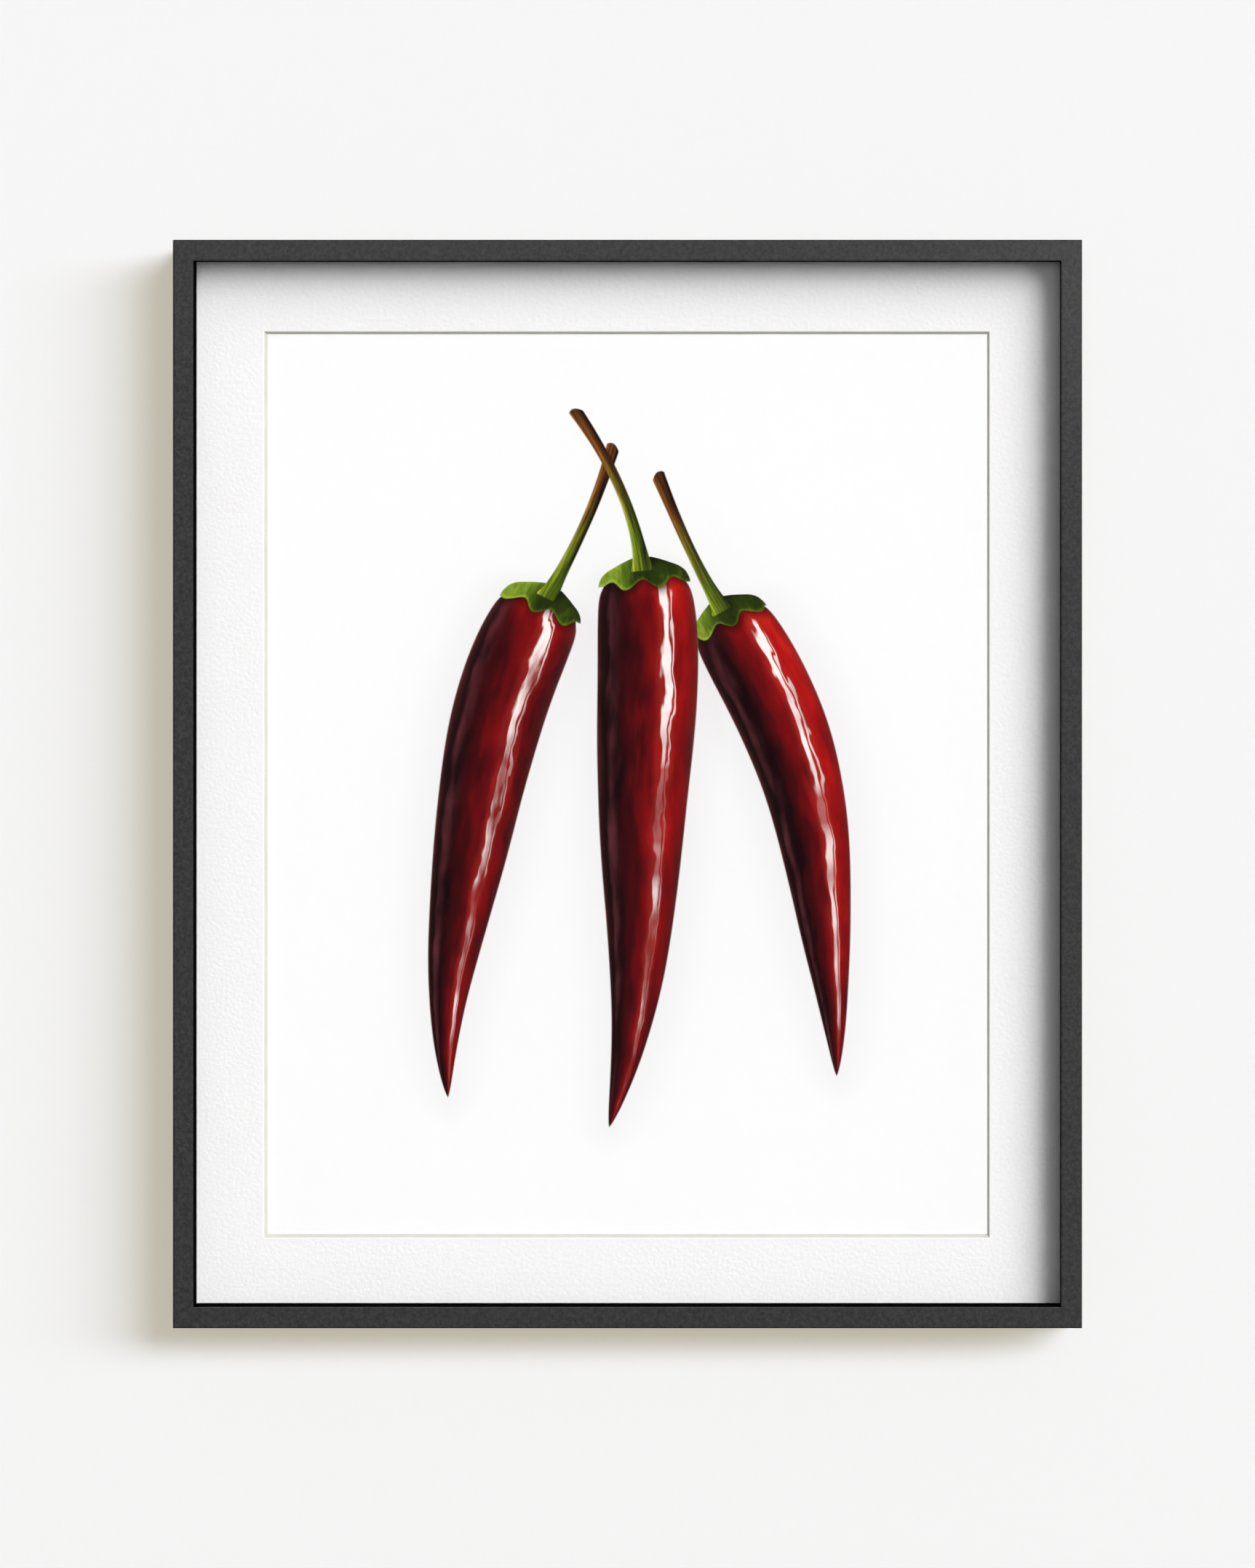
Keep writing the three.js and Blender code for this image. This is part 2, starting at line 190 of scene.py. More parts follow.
# %% [markdown]
# ## The black sight edge and the spacers
#
# The inner edge of the lip and the plastic spacers behind it are dead black, so that the eye goes
# to the picture. Black lips and spacers are real, and this black is also painted shade: it keeps
# the recess between the lip and the mat as dark as deep shadow even where light falls on it.
# Flocked or dyed black gives back well under one percent of the light. A trace of noise in the
# colour and the bump keeps the strip from looking like a hole.

# %% Dead black


def dead_black(name, roughness):
    """To the eye it is a black line with no gloss and no edge of its own."""
    material, add = new_material(name)
    place = add("ShaderNodeTexCoord").outputs["Object"]
    speck_width = 0.8 * MM
    speck = add(NOISE, place, sockets={"Scale": 1 / speck_width, "Detail": 2.0})
    # painted shade: a near-black that reads as the recess's shadow whether it is lit or not
    colour = set_stops(add(RAMP, speck), [(0.3, "#030303"), (0.7, "#080808")])
    bump = add(BUMP, sockets={"Height": speck, "Distance": 0.05 * MM})
    surface = {"Base Color": colour, "Roughness": roughness, "Specular IOR Level": 0.0, "Normal": bump}
    return close_material(material, PRINCIPLED, sockets=surface)


# both blacks are partly painted shade for the recess behind the lip
sight_black = dead_black("sight_edge_black_painted_shade", 0.9)
spacer_black = dead_black("spacer_plastic_black_painted_shade", 0.8)

# %% [markdown]
# ## Bare wood at the back
#
# Only what shows from the front and sides is lacquered. The rebate and the back edge are bare,
# pale, close-grained wood. Its growth rings are long streaks along each rail, so the noise is
# stretched along one axis, X on the level rails and Z on the upright ones.

# %% Bare wood


def bare_wood(name, along):
    """To the eye it is pale and dry, with fine streaks along the rail."""
    material, add = new_material(name)
    place = add("ShaderNodeTexCoord").outputs["Object"]
    ring_width = 1.3 * MM
    streak_length = 60 * MM
    scale = [1 / ring_width] * 3
    scale[along] = 1 / streak_length
    stretched = add(VECTOR, place, scale, operation="MULTIPLY")
    rings = add(NOISE, stretched, sockets={"Scale": 1.0, "Detail": 4.0, "Distortion": 0.4})
    colour = set_stops(add(RAMP, rings), [(0.3, "#a98a63"), (0.5, "#c8ab82"), (0.7, "#dcc49d")])
    bump = add(BUMP, sockets={"Height": rings, "Distance": 0.08 * MM, "Strength": 0.6})
    surface = {"Base Color": colour, "Roughness": 0.72, "Normal": bump}
    return close_material(material, PRINCIPLED, sockets=surface)


wood_level = bare_wood("wood_bare_planed_level", 0)
wood_upright = bare_wood("wood_bare_planed_upright", 2)

# %% [markdown]
# ## Mat board
#
# The mat is cotton board faced with white paper that was embossed between rollers, so its surface
# has pebbles of one to three millimetres that show only where the light grazes.

# %% Mat face


def pebbled_board():
    """To the eye it is a chalky white without gloss, finely pebbled in the half shade."""
    material, add = new_material("mat_board_embossed_white")
    place = add("ShaderNodeTexCoord").outputs["Object"]
    pebble_width = 2.2 * MM
    fibre_width = 0.5 * MM
    pebbles = add(NOISE, place, sockets={"Scale": 1 / pebble_width, "Detail": 2.5, "Roughness": 0.55})
    fibres = add(NOISE, place, sockets={"Scale": 1 / fibre_width, "Detail": 2.0})
    colour = set_stops(add(RAMP, pebbles), [(0.3, "#edecec"), (0.7, "#f1f0f0")])
    fine = add(BUMP, sockets={"Height": fibres, "Distance": 0.04 * MM, "Strength": 0.5})
    bump = add(BUMP, sockets={"Height": pebbles, "Distance": 0.3 * MM, "Strength": 0.5, "Normal": fine})
    surface = {"Base Color": colour, "Roughness": 0.95, "Specular IOR Level": 0.2, "Normal": bump}
    return close_material(material, PRINCIPLED, sockets=surface)


mat_face = pebbled_board()

# %% [markdown]
# The core of the board is cream pulp, and it shows only on the bevel. Pulp lets light through, so
# the shaded bevels are lit from inside by what falls on the face beside them. Subsurface
# scattering over a couple of millimetres gives part of that, and a faint glow the rest, because
# the light that crosses from the face isn't followed.

# %% Mat core


def cream_core():
    """To the eye it is a warm cream line, darker above and on the right, where it is in shade."""
    material, add = new_material("mat_board_core_cut_cream")
    place = add("ShaderNodeTexCoord").outputs["Object"]
    fibre_width = 0.6 * MM
    fibres = add(NOISE, place, sockets={"Scale": 1 / fibre_width, "Detail": 3.0})
    colour = set_stops(add(RAMP, fibres), [(0.3, "#b0afa8"), (0.7, "#bebdb6")])
    bump = add(BUMP, sockets={"Height": fibres, "Distance": 0.05 * MM})
    inner_light = {
        "Subsurface Weight": 0.9, "Subsurface Radius": (1.0, 1.0, 1.0), "Subsurface Scale": 2.0 * MM,
        "Emission Color": linear("#f4ecde"), "Emission Strength": 0.11,
    }
    surface = {"Base Color": colour, "Roughness": 0.95, "Specular IOR Level": 0.2, "Normal": bump}
    return close_material(material, PRINCIPLED, sockets={**surface, **inner_light})


mat_core = cream_core()

# %% [markdown]
# ## Acrylic glazing
#
# Non-glare acrylic is etched on its front, so it mirrors almost nothing sharply. Real refraction
# would cost many light paths and show nothing, because a flat sheet only shifts what is behind it
# by a hair. So the sheet is a transparent shader with a little rough gloss over it, more at a
# slant than straight on, as the Fresnel node gives.

# %% Clear acrylic


def clear_acrylic():
    """To the eye it isn't there from the front, and is a dull bloom at a slant."""
    material, add = new_material("acrylic_sheet_etched_clear")
    slant = add("ShaderNodeFresnel", 1.3)
    share = add(MATH, slant, 0.3, operation="MULTIPLY")
    clear = add("ShaderNodeBsdfTransparent", WHITE)
    gloss = add("ShaderNodeBsdfGlossy", sockets={"Color": WHITE, "Roughness": 0.35})
    return close_material(material, "ShaderNodeMixShader", share, clear, gloss)


acrylic = clear_acrylic()

# %% [markdown]
# ## The back panel
#
# The panel is bare hardboard, pressed from brown wood fibre. It has a faint cloud and dark specks
# of bark, and no grain. One noise at 45 mm gives the cloud, one at 1.2 mm the fibre, and the
# peaks of a third the specks.

# %% Back panel


def bare_fibreboard():
    """To the eye it is a flat dry brown, unevenly dark and peppered with bark."""
    material, add = new_material("fibreboard_pressed_bare")
    place = add("ShaderNodeTexCoord").outputs["Object"]
    cloud_width, fibre_width, speck_pitch = 45 * MM, 1.2 * MM, 3.5 * MM
    cloud = add(NOISE, place, sockets={"Scale": 1 / cloud_width, "Detail": 6.0, "Roughness": 0.65})
    fibre = add(NOISE, place, sockets={"Scale": 1 / fibre_width, "Detail": 4.0, "Roughness": 0.7})
    both = add(MATH, cloud, fibre, operation="ADD")
    tone = add(RANGE, both, 0.7, 1.3)
    colour = set_stops(add(RAMP, tone), [(0.1, "#876646"), (0.5, "#93704d"), (0.9, "#a07d57")])
    specks = add(NOISE, place, sockets={"Scale": 1 / speck_pitch, "Detail": 1.0})
    bark = add(RANGE, specks, 0.72, 0.78)
    spotted = add(BLEND, data_type="RGBA", sockets={SHARE: bark, UNDER: colour, OVER: linear("#4f3826")})
    bump = add(BUMP, sockets={"Height": fibre, "Distance": 0.08 * MM, "Strength": 0.6})
    surface = {"Base Color": spotted, "Roughness": 0.8, "Normal": bump}
    return close_material(material, PRINCIPLED, sockets=surface)


fibreboard = bare_fibreboard()

# %% [markdown]
# ## Steel, felt and tape
#
# The fittings are mild steel with a thin coat of zinc, which is a soft grey mirror broken up by
# spangles, the crystals of the zinc. Voronoi cells have the look of spangles.

# %% Zinc-plated steel


def zinc_plate():
    """To the eye it is a bright but blurred grey metal, uneven from spangle to spangle."""
    material, add = new_material("steel_pressed_zinc_plated")
    place = add("ShaderNodeTexCoord").outputs["Object"]
    spangle_width, cloud_width = 1.6 * MM, 4 * MM
    spangles = add("ShaderNodeTexVoronoi", place, sockets={"Scale": 1 / spangle_width})
    cloud = add(NOISE, place, sockets={"Scale": 1 / cloud_width, "Detail": 3.0})
    colour = set_stops(add(RAMP, cloud), [(0.3, "#a9abae"), (0.7, "#c6c8ca")])
    gloss = add(RANGE, spangles, 0.0, 1.0, 0.36, 0.52)
    bump = add(BUMP, sockets={"Height": spangles, "Distance": 0.02 * MM})
    surface = {"Base Color": colour, "Metallic": 1.0, "Roughness": gloss, "Normal": bump}
    return close_material(material, PRINCIPLED, sockets=surface)


steel = zinc_plate()

# %% [markdown]
# The pads are wool felt: matted fibres without direction, so the noise is distorted until it
# curls, and a sheen stands for the loose hairs that catch the light at a slant.

# %% Wool felt


def wool_felt():
    """To the eye it is a soft black that goes grey at its edges."""
    material, add = new_material("felt_wool_pressed_black")
    place = add("ShaderNodeTexCoord").outputs["Object"]
    curl_width = 0.35 * MM
    fibres = add(NOISE, place, sockets={"Scale": 1 / curl_width, "Detail": 4.0, "Distortion": 1.5})
    colour = set_stops(add(RAMP, fibres), [(0.3, "#1b1917"), (0.7, "#37332f")])
    bump = add(BUMP, sockets={"Height": fibres, "Distance": 0.15 * MM})
    surface = {"Base Color": colour, "Roughness": 1.0, "Sheen Weight": 0.4, "Normal": bump}
    return close_material(material, PRINCIPLED, sockets=surface)


felt = wool_felt()

# %% [markdown]
# The print hangs from its mount on two strips of gummed linen tape. Two waves that cross are the
# threads of a plain weave. A wave texture has 0.31 of a band in one unit of its scale.

# %% Linen tape


def linen_tape():
    """To the eye it is an off-white cloth, woven so finely that it shows only close by."""
    material, add = new_material("tape_linen_woven_gummed")
    place = add("ShaderNodeTexCoord").outputs["Object"]
    thread_pitch = 0.5 * MM
    scale = 0.31 / thread_pitch
    warp, weft = [add("ShaderNodeTexWave", place, scale, bands_direction=axis) for axis in "XZ"]
    cloth = add(MATH, warp, weft, operation="MULTIPLY")
    colour = set_stops(add(RAMP, cloth), [(0.0, "#cfc8b4"), (1.0, "#ece7d9")])
    bump = add(BUMP, sockets={"Height": cloth, "Distance": 0.05 * MM})
    surface = {"Base Color": colour, "Roughness": 0.9, "Normal": bump}
    return close_material(material, PRINCIPLED, sockets=surface)


linen = linen_tape()

# %% [markdown]
# ## The print: three red chillies
#
# The print is a picture of its own design: three glossy red chillies in a loose fan on white. A
# picture could be an image file, but paint made of nodes stays sharp at any distance. Each
# chilli is worked out from two numbers at every point of the paper: how far along its spine the
# point lies, and how far to the side. From them follows the surface that the chilli would have
# there, and from its tilt what it would mirror: a long window of light, a weaker one on the other
# side, and the pale room at its rim. All lengths in this part are millimetres on the paper, with
# the window's middle as the origin, and headings are degrees from the right, anticlockwise.

# %% The chillies' sizes and places
CHILLIES = [
    {
        "name": "left", "start": (-44, 106), "heading": -116, "radius": 560, "bend": 1,
        "length": 292, "half_width": 26.5, "stem": 92, "curl": 15, "phase": 0.4,
    },
    {
        "name": "right", "start": (55, 100), "heading": -61, "radius": 500, "bend": -1,
        "length": 276, "half_width": 25.0, "stem": 84, "curl": -10, "phase": 2.1,
    },
    {
        "name": "middle", "start": (6, 122), "heading": -84, "radius": 1000, "bend": -1,
        "length": 318, "half_width": 28.5, "stem": 96, "curl": 20, "phase": 4.4,
    },
]
print(f"{len(CHILLIES)} chillies, {[spec['length'] for spec in CHILLIES]} mm long")

# %% [markdown]
# Every outline is painted the same way: a part is where one length is under another, with a step
# between as soft as ink is on paper. Where a part needs several such edges, their product is the
# share that lies inside all of them. Noise that is drawn out along the spine gives the grain.

# %% Edges, overlaps and streaks
INK_EDGE = 0.35


def add_edge(add, limit, value):
    """1 where value is under limit and 0 where it is over, with a thin soft step between."""
    room = add(MATH, limit, value, operation="SUBTRACT")
    return add(RANGE, room, -INK_EDGE, INK_EDGE)


def add_overlap(add, *masks):
    """The share that lies inside all of the masks."""
    product = masks[0]
    for mask in masks[1:]:
        product = add(MATH, product, mask, operation="MULTIPLY")
    return product


def add_streaks(add, along, across, length, width, seed, detail):
    """Noise that is drawn out along the spine."""
    x = add(MATH, along, 1 / length, operation="MULTIPLY")
    y = add(MATH, across, 1 / width, operation="MULTIPLY")
    place = add("ShaderNodeCombineXYZ", x, y, seed)
    return add(NOISE, place, sockets={"Scale": 1.0, "Detail": detail, "Roughness": 0.58})


def set_curve(node, points):
    """Lays a float curve smoothly through the points, and returns it."""
    curve = node.mapping.curves[0]
    while len(curve.points) < len(points):
        curve.points.new(0.5, 0.5)
    for point, place in zip(curve.points, points):
        point.location = place
    node.mapping.update()
    return node


# %% [markdown]
# A chilli's spine could be a curve of any kind, but the nearest point on most curves is hard to
# find in a shader. An arc is easy: the angle and the distance from its centre are the way along
# it and the way off it. A slow sway to the sides then hides that it is a perfect arc.

# %% The spine
SWAY_LENGTH, SWAY_SHARE = 0.8, 0.09


def add_spine(add, place, spec):
    """How far a place lies along the spine and across it, and the directions across and ahead."""
    heading = math.radians(spec["heading"])
    ahead = Vector((math.cos(heading), math.sin(heading), 0))
    left = Vector((-ahead.y, ahead.x, 0))
    bend, radius = float(spec["bend"]), float(spec["radius"])
    centre = Vector((*spec["start"], 0)) + left * bend * radius
    arm = add(VECTOR, place, centre, operation="SUBTRACT")
    cosine = add(VECTOR, arm, left * -bend, operation="DOT_PRODUCT")
    sine = add(VECTOR, arm, ahead, operation="DOT_PRODUCT")
    turn = add(MATH, sine, cosine, operation="ARCTAN2")
    along = add(MATH, turn, radius, operation="MULTIPLY")
    reach = add(VECTOR, arm, operation="LENGTH")
    beside = add(MATH, reach, bend, -radius * bend, operation="MULTIPLY_ADD")
    sway_turn = 2 * math.pi / (SWAY_LENGTH * spec["length"])
    sway = add(MATH, along, sway_turn, spec["phase"], operation="MULTIPLY_ADD")
    sway = add(MATH, sway, operation="SINE")
    across = add(MATH, sway, -SWAY_SHARE * spec["half_width"], beside, operation="MULTIPLY_ADD")
    outwards = add(VECTOR, arm, operation="NORMALIZE")
    side_way = add(VECTOR, outwards, sockets={3: bend}, operation="SCALE")
    ahead_way = add(VECTOR, (0, 0, bend), outwards, operation="CROSS_PRODUCT")
    return along, across, side_way, ahead_way


# %% [markdown]
# The body's half width along the spine is a curve: a blunt shoulder, a long taper and a fine tip.
# The outline needs that width, and the shading needs how fast it narrows, which is the difference
# between the widths a little before and a little after.

# %% The body's width
BODY_CURVE = [(0.0, 0.55), (0.025, 0.8), (0.08, 0.97), (0.2, 1.0), (0.42, 0.88), (0.65, 0.64),
              (0.83, 0.37), (0.93, 0.19), (0.985, 0.06), (1.0, 0.0)]
SLOPE_STEP = 0.012


def add_body(add, spec, along):
    """The body's half width at this place along the spine, and how fast it narrows there."""
    share = add(MATH, along, float(spec["length"]), operation="DIVIDE")
    widths = []
    for shift in (-SLOPE_STEP, 0.0, SLOPE_STEP):
        at = add(MATH, share, shift, operation="ADD")
        width = set_curve(add(CURVE, 1.0, at), BODY_CURVE)
        widths.append(add(MATH, width, spec["half_width"], operation="MULTIPLY"))
    narrowing = add(MATH, widths[0], widths[2], operation="SUBTRACT")
    fall = add(MATH, narrowing, 2 * SLOPE_STEP * spec["length"], operation="DIVIDE")
    return widths[1], fall


# %% [markdown]
# The skin is round across, falls off towards the tip, and has shallow dents. Where it leans so
# that a lamp's direction lies halfway to the viewer it mirrors the lamp, so a highlight is an
# oblong in the tilts of the surface, not in places on the paper: it bends with the chilli.

# %% The skin's tilt and what it mirrors
DENT_DEPTH = 0.42


def add_normal(add, spec, along, across, side, fall, side_way, ahead_way):
    """The direction in which the skin faces, with its dents."""
    squared = add(MATH, side, side, operation="MULTIPLY")
    rest = add(MATH, 1.0, squared, operation="SUBTRACT")
    lift = add(MATH, rest, 0.5, operation="POWER")
    dents = add_streaks(add, along, across, 26.0, 7.0, spec["phase"], 2.0)
    dents = add(VECTOR, dents.outputs["Color"], (0.5, 0.5, 0.5), operation="SUBTRACT")
    normal = add("ShaderNodeCombineXYZ", 0.0, 0.0, lift)
    for way, size in ((side_way, side), (ahead_way, fall), (dents, DENT_DEPTH)):
        part = add(VECTOR, way, sockets={3: size}, operation="SCALE")
        normal = add(VECTOR, normal, part, operation="ADD")
    return add(VECTOR, normal, operation="NORMALIZE")


def add_window(add, tilts, middle, half, soft):
    """The share of an oblong lamp that a surface of these tilts mirrors to the viewer."""
    worst = 0.0
    for tilt, centre, reach in zip(tilts, middle, half):
        off = add(MATH, tilt, centre, operation="SUBTRACT")
        size = add(MATH, off, operation="ABSOLUTE")
        part = add(MATH, size, reach, operation="DIVIDE")
        worst = add(MATH, worst, part, operation="MAXIMUM")
    return add(RANGE, worst, 1.0 + soft, 1.0 - soft, interpolation_type="SMOOTHSTEP")


# %% [markdown]
# The red runs from nearly black on the shaded side to scarlet on the lit one, by the angle to the
# key light and a little mottle. Over it lie the mirrored things, weakest first: the rim, the weak
# window, the red halo, and the white highlight, which breaks up along the lower part.

# %% The red skin
KEY_LIGHT = Vector((0.46, 0.5, 0.73))
SKIN_REDS = [(0.0, "#080103"), (0.34, "#180307"), (0.57, "#40050a"), (0.78, "#7c080c"), (0.92, "#ac110f"),
             (1.0, "#c8241a")]


def add_skin(add, spec, along, across, normal):
    """The red skin's colour, from the direction in which it faces."""
    x, y, z = add("ShaderNodeSeparateXYZ", normal).outputs
    facing = add(MATH, z, 0.05, operation="MAXIMUM")
    tilts = [add(MATH, part, facing, operation="DIVIDE") for part in (x, y)]
    lit = add(VECTOR, normal, KEY_LIGHT.normalized(), operation="DOT_PRODUCT")
    blotches = add_streaks(add, along, across, 32.0, 8.7, spec["phase"] + 9, 4.0)
    mottled = add(MATH, blotches, 0.45, lit, operation="MULTIPLY_ADD")
    tone = add(RANGE, mottled, 0.15, 1.3)
    red = set_stops(add(RAMP, tone), SKIN_REDS)

    slant = add(MATH, 1.0, facing, operation="SUBTRACT")
    rim = add(MATH, slant, 4.5, operation="POWER")
    rim = add(MATH, rim, 0.4, operation="MULTIPLY")
    fill = add_window(add, tilts, (-1.0, 0.1), (0.24, 1.4), 0.95)
    fill_share = add(RANGE, blotches, 0.35, 0.7, 0.02, 0.22)
    fill = add_overlap(add, fill, fill_share)
    halo = add_window(add, tilts, (0.46, 0.2), (0.2, 0.55), 0.9)
    halo = add(MATH, halo, 0.2, operation="MULTIPLY")
    highlight = add_highlight(add, spec, along, tilts)
    colour = red
    for share, tint in ((rim, "#b8625c"), (fill, "#a8535a"), (halo, "#ee5244"), (highlight, "#fff1ee")):
        colour = add(BLEND, data_type="RGBA", sockets={SHARE: share, UNDER: colour, OVER: linear(tint)})
    return colour


def add_highlight(add, spec, along, tilts):
    """The white highlight: a window and a narrow pane beside it, broken up below the shoulder."""
    glint = add_streaks(add, along, 0.0, 34.0, 1.0, spec["phase"] + 2, 1.0)
    glint = add(RANGE, glint, 0.4, 0.56, 0.12, 1.0)
    shoulder = add(RANGE, along, 85.0, 45.0)
    glint = add(MATH, glint, shoulder, operation="MAXIMUM")
    key = add_window(add, tilts, (0.42, 0.2), (0.085, 0.36), 0.35)
    pane = add_window(add, tilts, (0.6, 0.1), (0.03, 0.3), 0.5)
    pane = add(MATH, pane, 0.7, operation="MULTIPLY")
    both = add(MATH, key, pane, operation="MAXIMUM")
    return add_overlap(add, both, glint)


# %% [markdown]
# The cap sits on the shoulder like a small collar. Its width is a curve, as the body's is, and a
# sine makes the lobes of its lower edge. It is darkest beside the stem and palest at its lip.

# %% The green cap
CAP_CURVE = [(0.0, 0.2), (0.2, 0.55), (0.45, 0.86), (0.7, 0.97), (1.0, 1.0)]
CAP_GREENS = [(0.1, "#0f1404"), (0.35, "#2a390a"), (0.6, "#557016"), (0.85, "#93a933")]
CAP_BACK, CAP_FRONT, CAP_WIDTH = 6.0, 12.0, 0.92


def add_cap(add, spec, along, across, side, grain):
    """The cap's colour, its mask and the line where its lobes end on the shoulder."""
    lobe_turn = add(MATH, side, 8.0, spec["phase"], operation="MULTIPLY_ADD")
    lobes = add(MATH, lobe_turn, operation="SINE")
    end = add(MATH, lobes, 2.6, CAP_FRONT - 3.0, operation="MULTIPLY_ADD")
    share = add(RANGE, along, -CAP_BACK, CAP_FRONT)
    width = set_curve(add(CURVE, 1.0, share), CAP_CURVE)
    width = add(MATH, width, CAP_WIDTH * spec["half_width"], operation="MULTIPLY")
    off = add(MATH, across, operation="ABSOLUTE")
    mask = add_overlap(
        add, add_edge(add, width, off), add_edge(add, end, along), add_edge(add, along, -CAP_BACK)
    )
    turn = add(MATH, across, width, operation="DIVIDE")
    slope = add(MATH, turn, 0.26, 0.22, operation="MULTIPLY_ADD")
    grained = add(MATH, grain, 0.5, slope, operation="MULTIPLY_ADD")
    to_rim = add(MATH, end, along, operation="SUBTRACT")
    lip = add(RANGE, to_rim, 2.2, 0.4, 0.0, 0.2)
    near_stem = add(RANGE, off, 4.0, 13.0, -0.2, 0.04)
    tone = add(MATH, grained, lip, operation="ADD")
    tone = add(MATH, tone, near_stem, operation="ADD")
    green = set_stops(add(RAMP, tone), CAP_GREENS)
    return green, mask, end


# %% [markdown]
# The stem goes back from the cap and curls more the further it goes, which a square gives. It is
# fresh and green near the cap and has dried to brown at its cut end.

# %% The stem
STEM_CURVE = [(0.0, 1.0), (0.08, 0.7), (0.25, 0.52), (0.7, 0.5), (0.92, 0.6), (1.0, 0.66)]
STEM_GREENS = [(0.25, "#151a05"), (0.5, "#48590f"), (0.75, "#869a22"), (0.95, "#bfca50")]
STEM_BROWNS = [(0.25, "#120803"), (0.5, "#45260d"), (0.75, "#834a1c"), (0.95, "#b9793a")]
STEM_HALF_WIDTH = 6.4


def add_stem(add, spec, along, across, blotches):
    """The stem's colour and its mask."""
    length = float(spec["stem"])
    share = add(RANGE, along, 0.0, -length)
    curl = add(MATH, share, 2.0, operation="POWER")
    off = add(MATH, curl, -float(spec["curl"]), across, operation="MULTIPLY_ADD")
    width = set_curve(add(CURVE, 1.0, share), STEM_CURVE)
    width = add(MATH, width, STEM_HALF_WIDTH, operation="MULTIPLY")
    size = add(MATH, off, operation="ABSOLUTE")
    turn = add(MATH, off, width, operation="DIVIDE")
    round_off = add(MATH, turn, 2.0, operation="POWER")
    end = add(MATH, round_off, 2.2, -length, operation="MULTIPLY_ADD")
    mask = add_overlap(
        add, add_edge(add, width, size), add_edge(add, along, end), add_edge(add, 1.5, along)
    )
    ridges = add_streaks(add, along, off, 30.0, 1.3, spec["phase"] + 4, 3.0)
    slope = add(MATH, turn, 0.24, 0.06, operation="MULTIPLY_ADD")
    tone = add(MATH, ridges, 0.9, slope, operation="MULTIPLY_ADD")
    fresh, dry = [set_stops(add(RAMP, tone), tones) for tones in (STEM_GREENS, STEM_BROWNS)]
    drying = add(MATH, blotches, 0.5, share, operation="MULTIPLY_ADD")
    drying = add(RANGE, drying, 0.42, 0.95)
    stem = add(BLEND, data_type="RGBA", sockets={SHARE: drying, UNDER: fresh, OVER: dry})
    return stem, mask


# %% [markdown]
# A chilli that lies on white paper in soft light has a faint shade round it, which fades out over
# 24 mm. The distance to the body gives it, from the way off its side and the way off its ends.

# %% The shade on the paper
SHADE_REACH, SHADE_DEPTH = 24.0, 0.05


def add_shade(add, spec, along, off, width):
    """How much of the chilli's shade a place on the paper has."""
    off_side = add(MATH, off, width, operation="SUBTRACT")
    past_tip = add(MATH, along, float(spec["length"]), operation="SUBTRACT")
    before = add(MATH, along, -1.0, operation="MULTIPLY")
    off_end = add(MATH, past_tip, before, operation="MAXIMUM")
    off_both = add("ShaderNodeCombineXYZ", off_side, off_end, 0.0)
    off_both = add(VECTOR, off_both, (0, 0, 0), operation="MAXIMUM")
    away = add(VECTOR, off_both, operation="LENGTH")
    return add(RANGE, away, 0.0, SHADE_REACH, SHADE_DEPTH, 0.0, interpolation_type="SMOOTHSTEP")


# %% [markdown]
# The parts are put together in a node group, one for each chilli, which keeps the paper's own
# tree short. The cap goes over the skin, with a thin dark line of shade below it, and the stem
# goes over the cap.

# %% A whole chilli as a node group
CAP_SHADE_LENGTH = 6.0
GROUP_SOCKETS = [("Place", "INPUT", "Vector"), ("Colour", "OUTPUT", "Color"), ("Mask", "OUTPUT", "Float"),
                 ("Shade", "OUTPUT", "Float")]


def chilli_group(spec):
    """A node group that takes a place on the paper and gives a chilli's colour, mask and shade."""
    tree = bpy.data.node_groups.new(f"chilli_{spec['name']}", "ShaderNodeTree")
    for name, in_out, kind in GROUP_SOCKETS:
        tree.interface.new_socket(name=name, in_out=in_out, socket_type=f"NodeSocket{kind}")
    add = partial(add_node, tree)
    place = add("NodeGroupInput").outputs["Place"]
    along, across, side_way, ahead_way = add_spine(add, place, spec)
    width, fall = add_body(add, spec, along)
    part = add(MATH, across, width, operation="DIVIDE")
    side = add(RANGE, part, -1.0, 1.0, -1.0, 1.0)
    off = add(MATH, across, operation="ABSOLUTE")
    ends = add_edge(add, along, 0.0), add_edge(add, float(spec["length"]), along)
    mask = add_overlap(add, add_edge(add, width, off), *ends)
    normal = add_normal(add, spec, along, across, side, fall, side_way, ahead_way)
    colour = add_skin(add, spec, along, across, normal)
    grain = add_streaks(add, along, across, 9.0, 2.6, spec["phase"] + 6, 3.0)
    green, cap_mask, cap_end = add_cap(add, spec, along, across, side, grain)
    stem, stem_mask = add_stem(add, spec, along, across, grain)
    past_cap = add(MATH, along, cap_end, operation="SUBTRACT")
    cast = add(RANGE, past_cap, 0.0, CAP_SHADE_LENGTH, 0.8, 0.0)
    for share, tint in ((cast, linear("#100203")), (cap_mask, green), (stem_mask, stem)):
        colour = add(BLEND, data_type="RGBA", sockets={SHARE: share, UNDER: colour, OVER: tint})
    for other in (cap_mask, stem_mask):
        mask = add(MATH, mask, other, operation="MAXIMUM")
    add("NodeGroupOutput", colour, mask, add_shade(add, spec, along, off, width))
    print(f"{tree.name}: {len(tree.nodes)} nodes")
    return tree


# %% [markdown]
# The sheet is matt cotton rag paper, printed with pigment ink from a nozzle, and the ink lies on
# it as a film that is a little glossier than the bare tooth. The chillies are laid over one
# another in turn, so the middle one, which comes last, lies on top.

# %% The printed paper


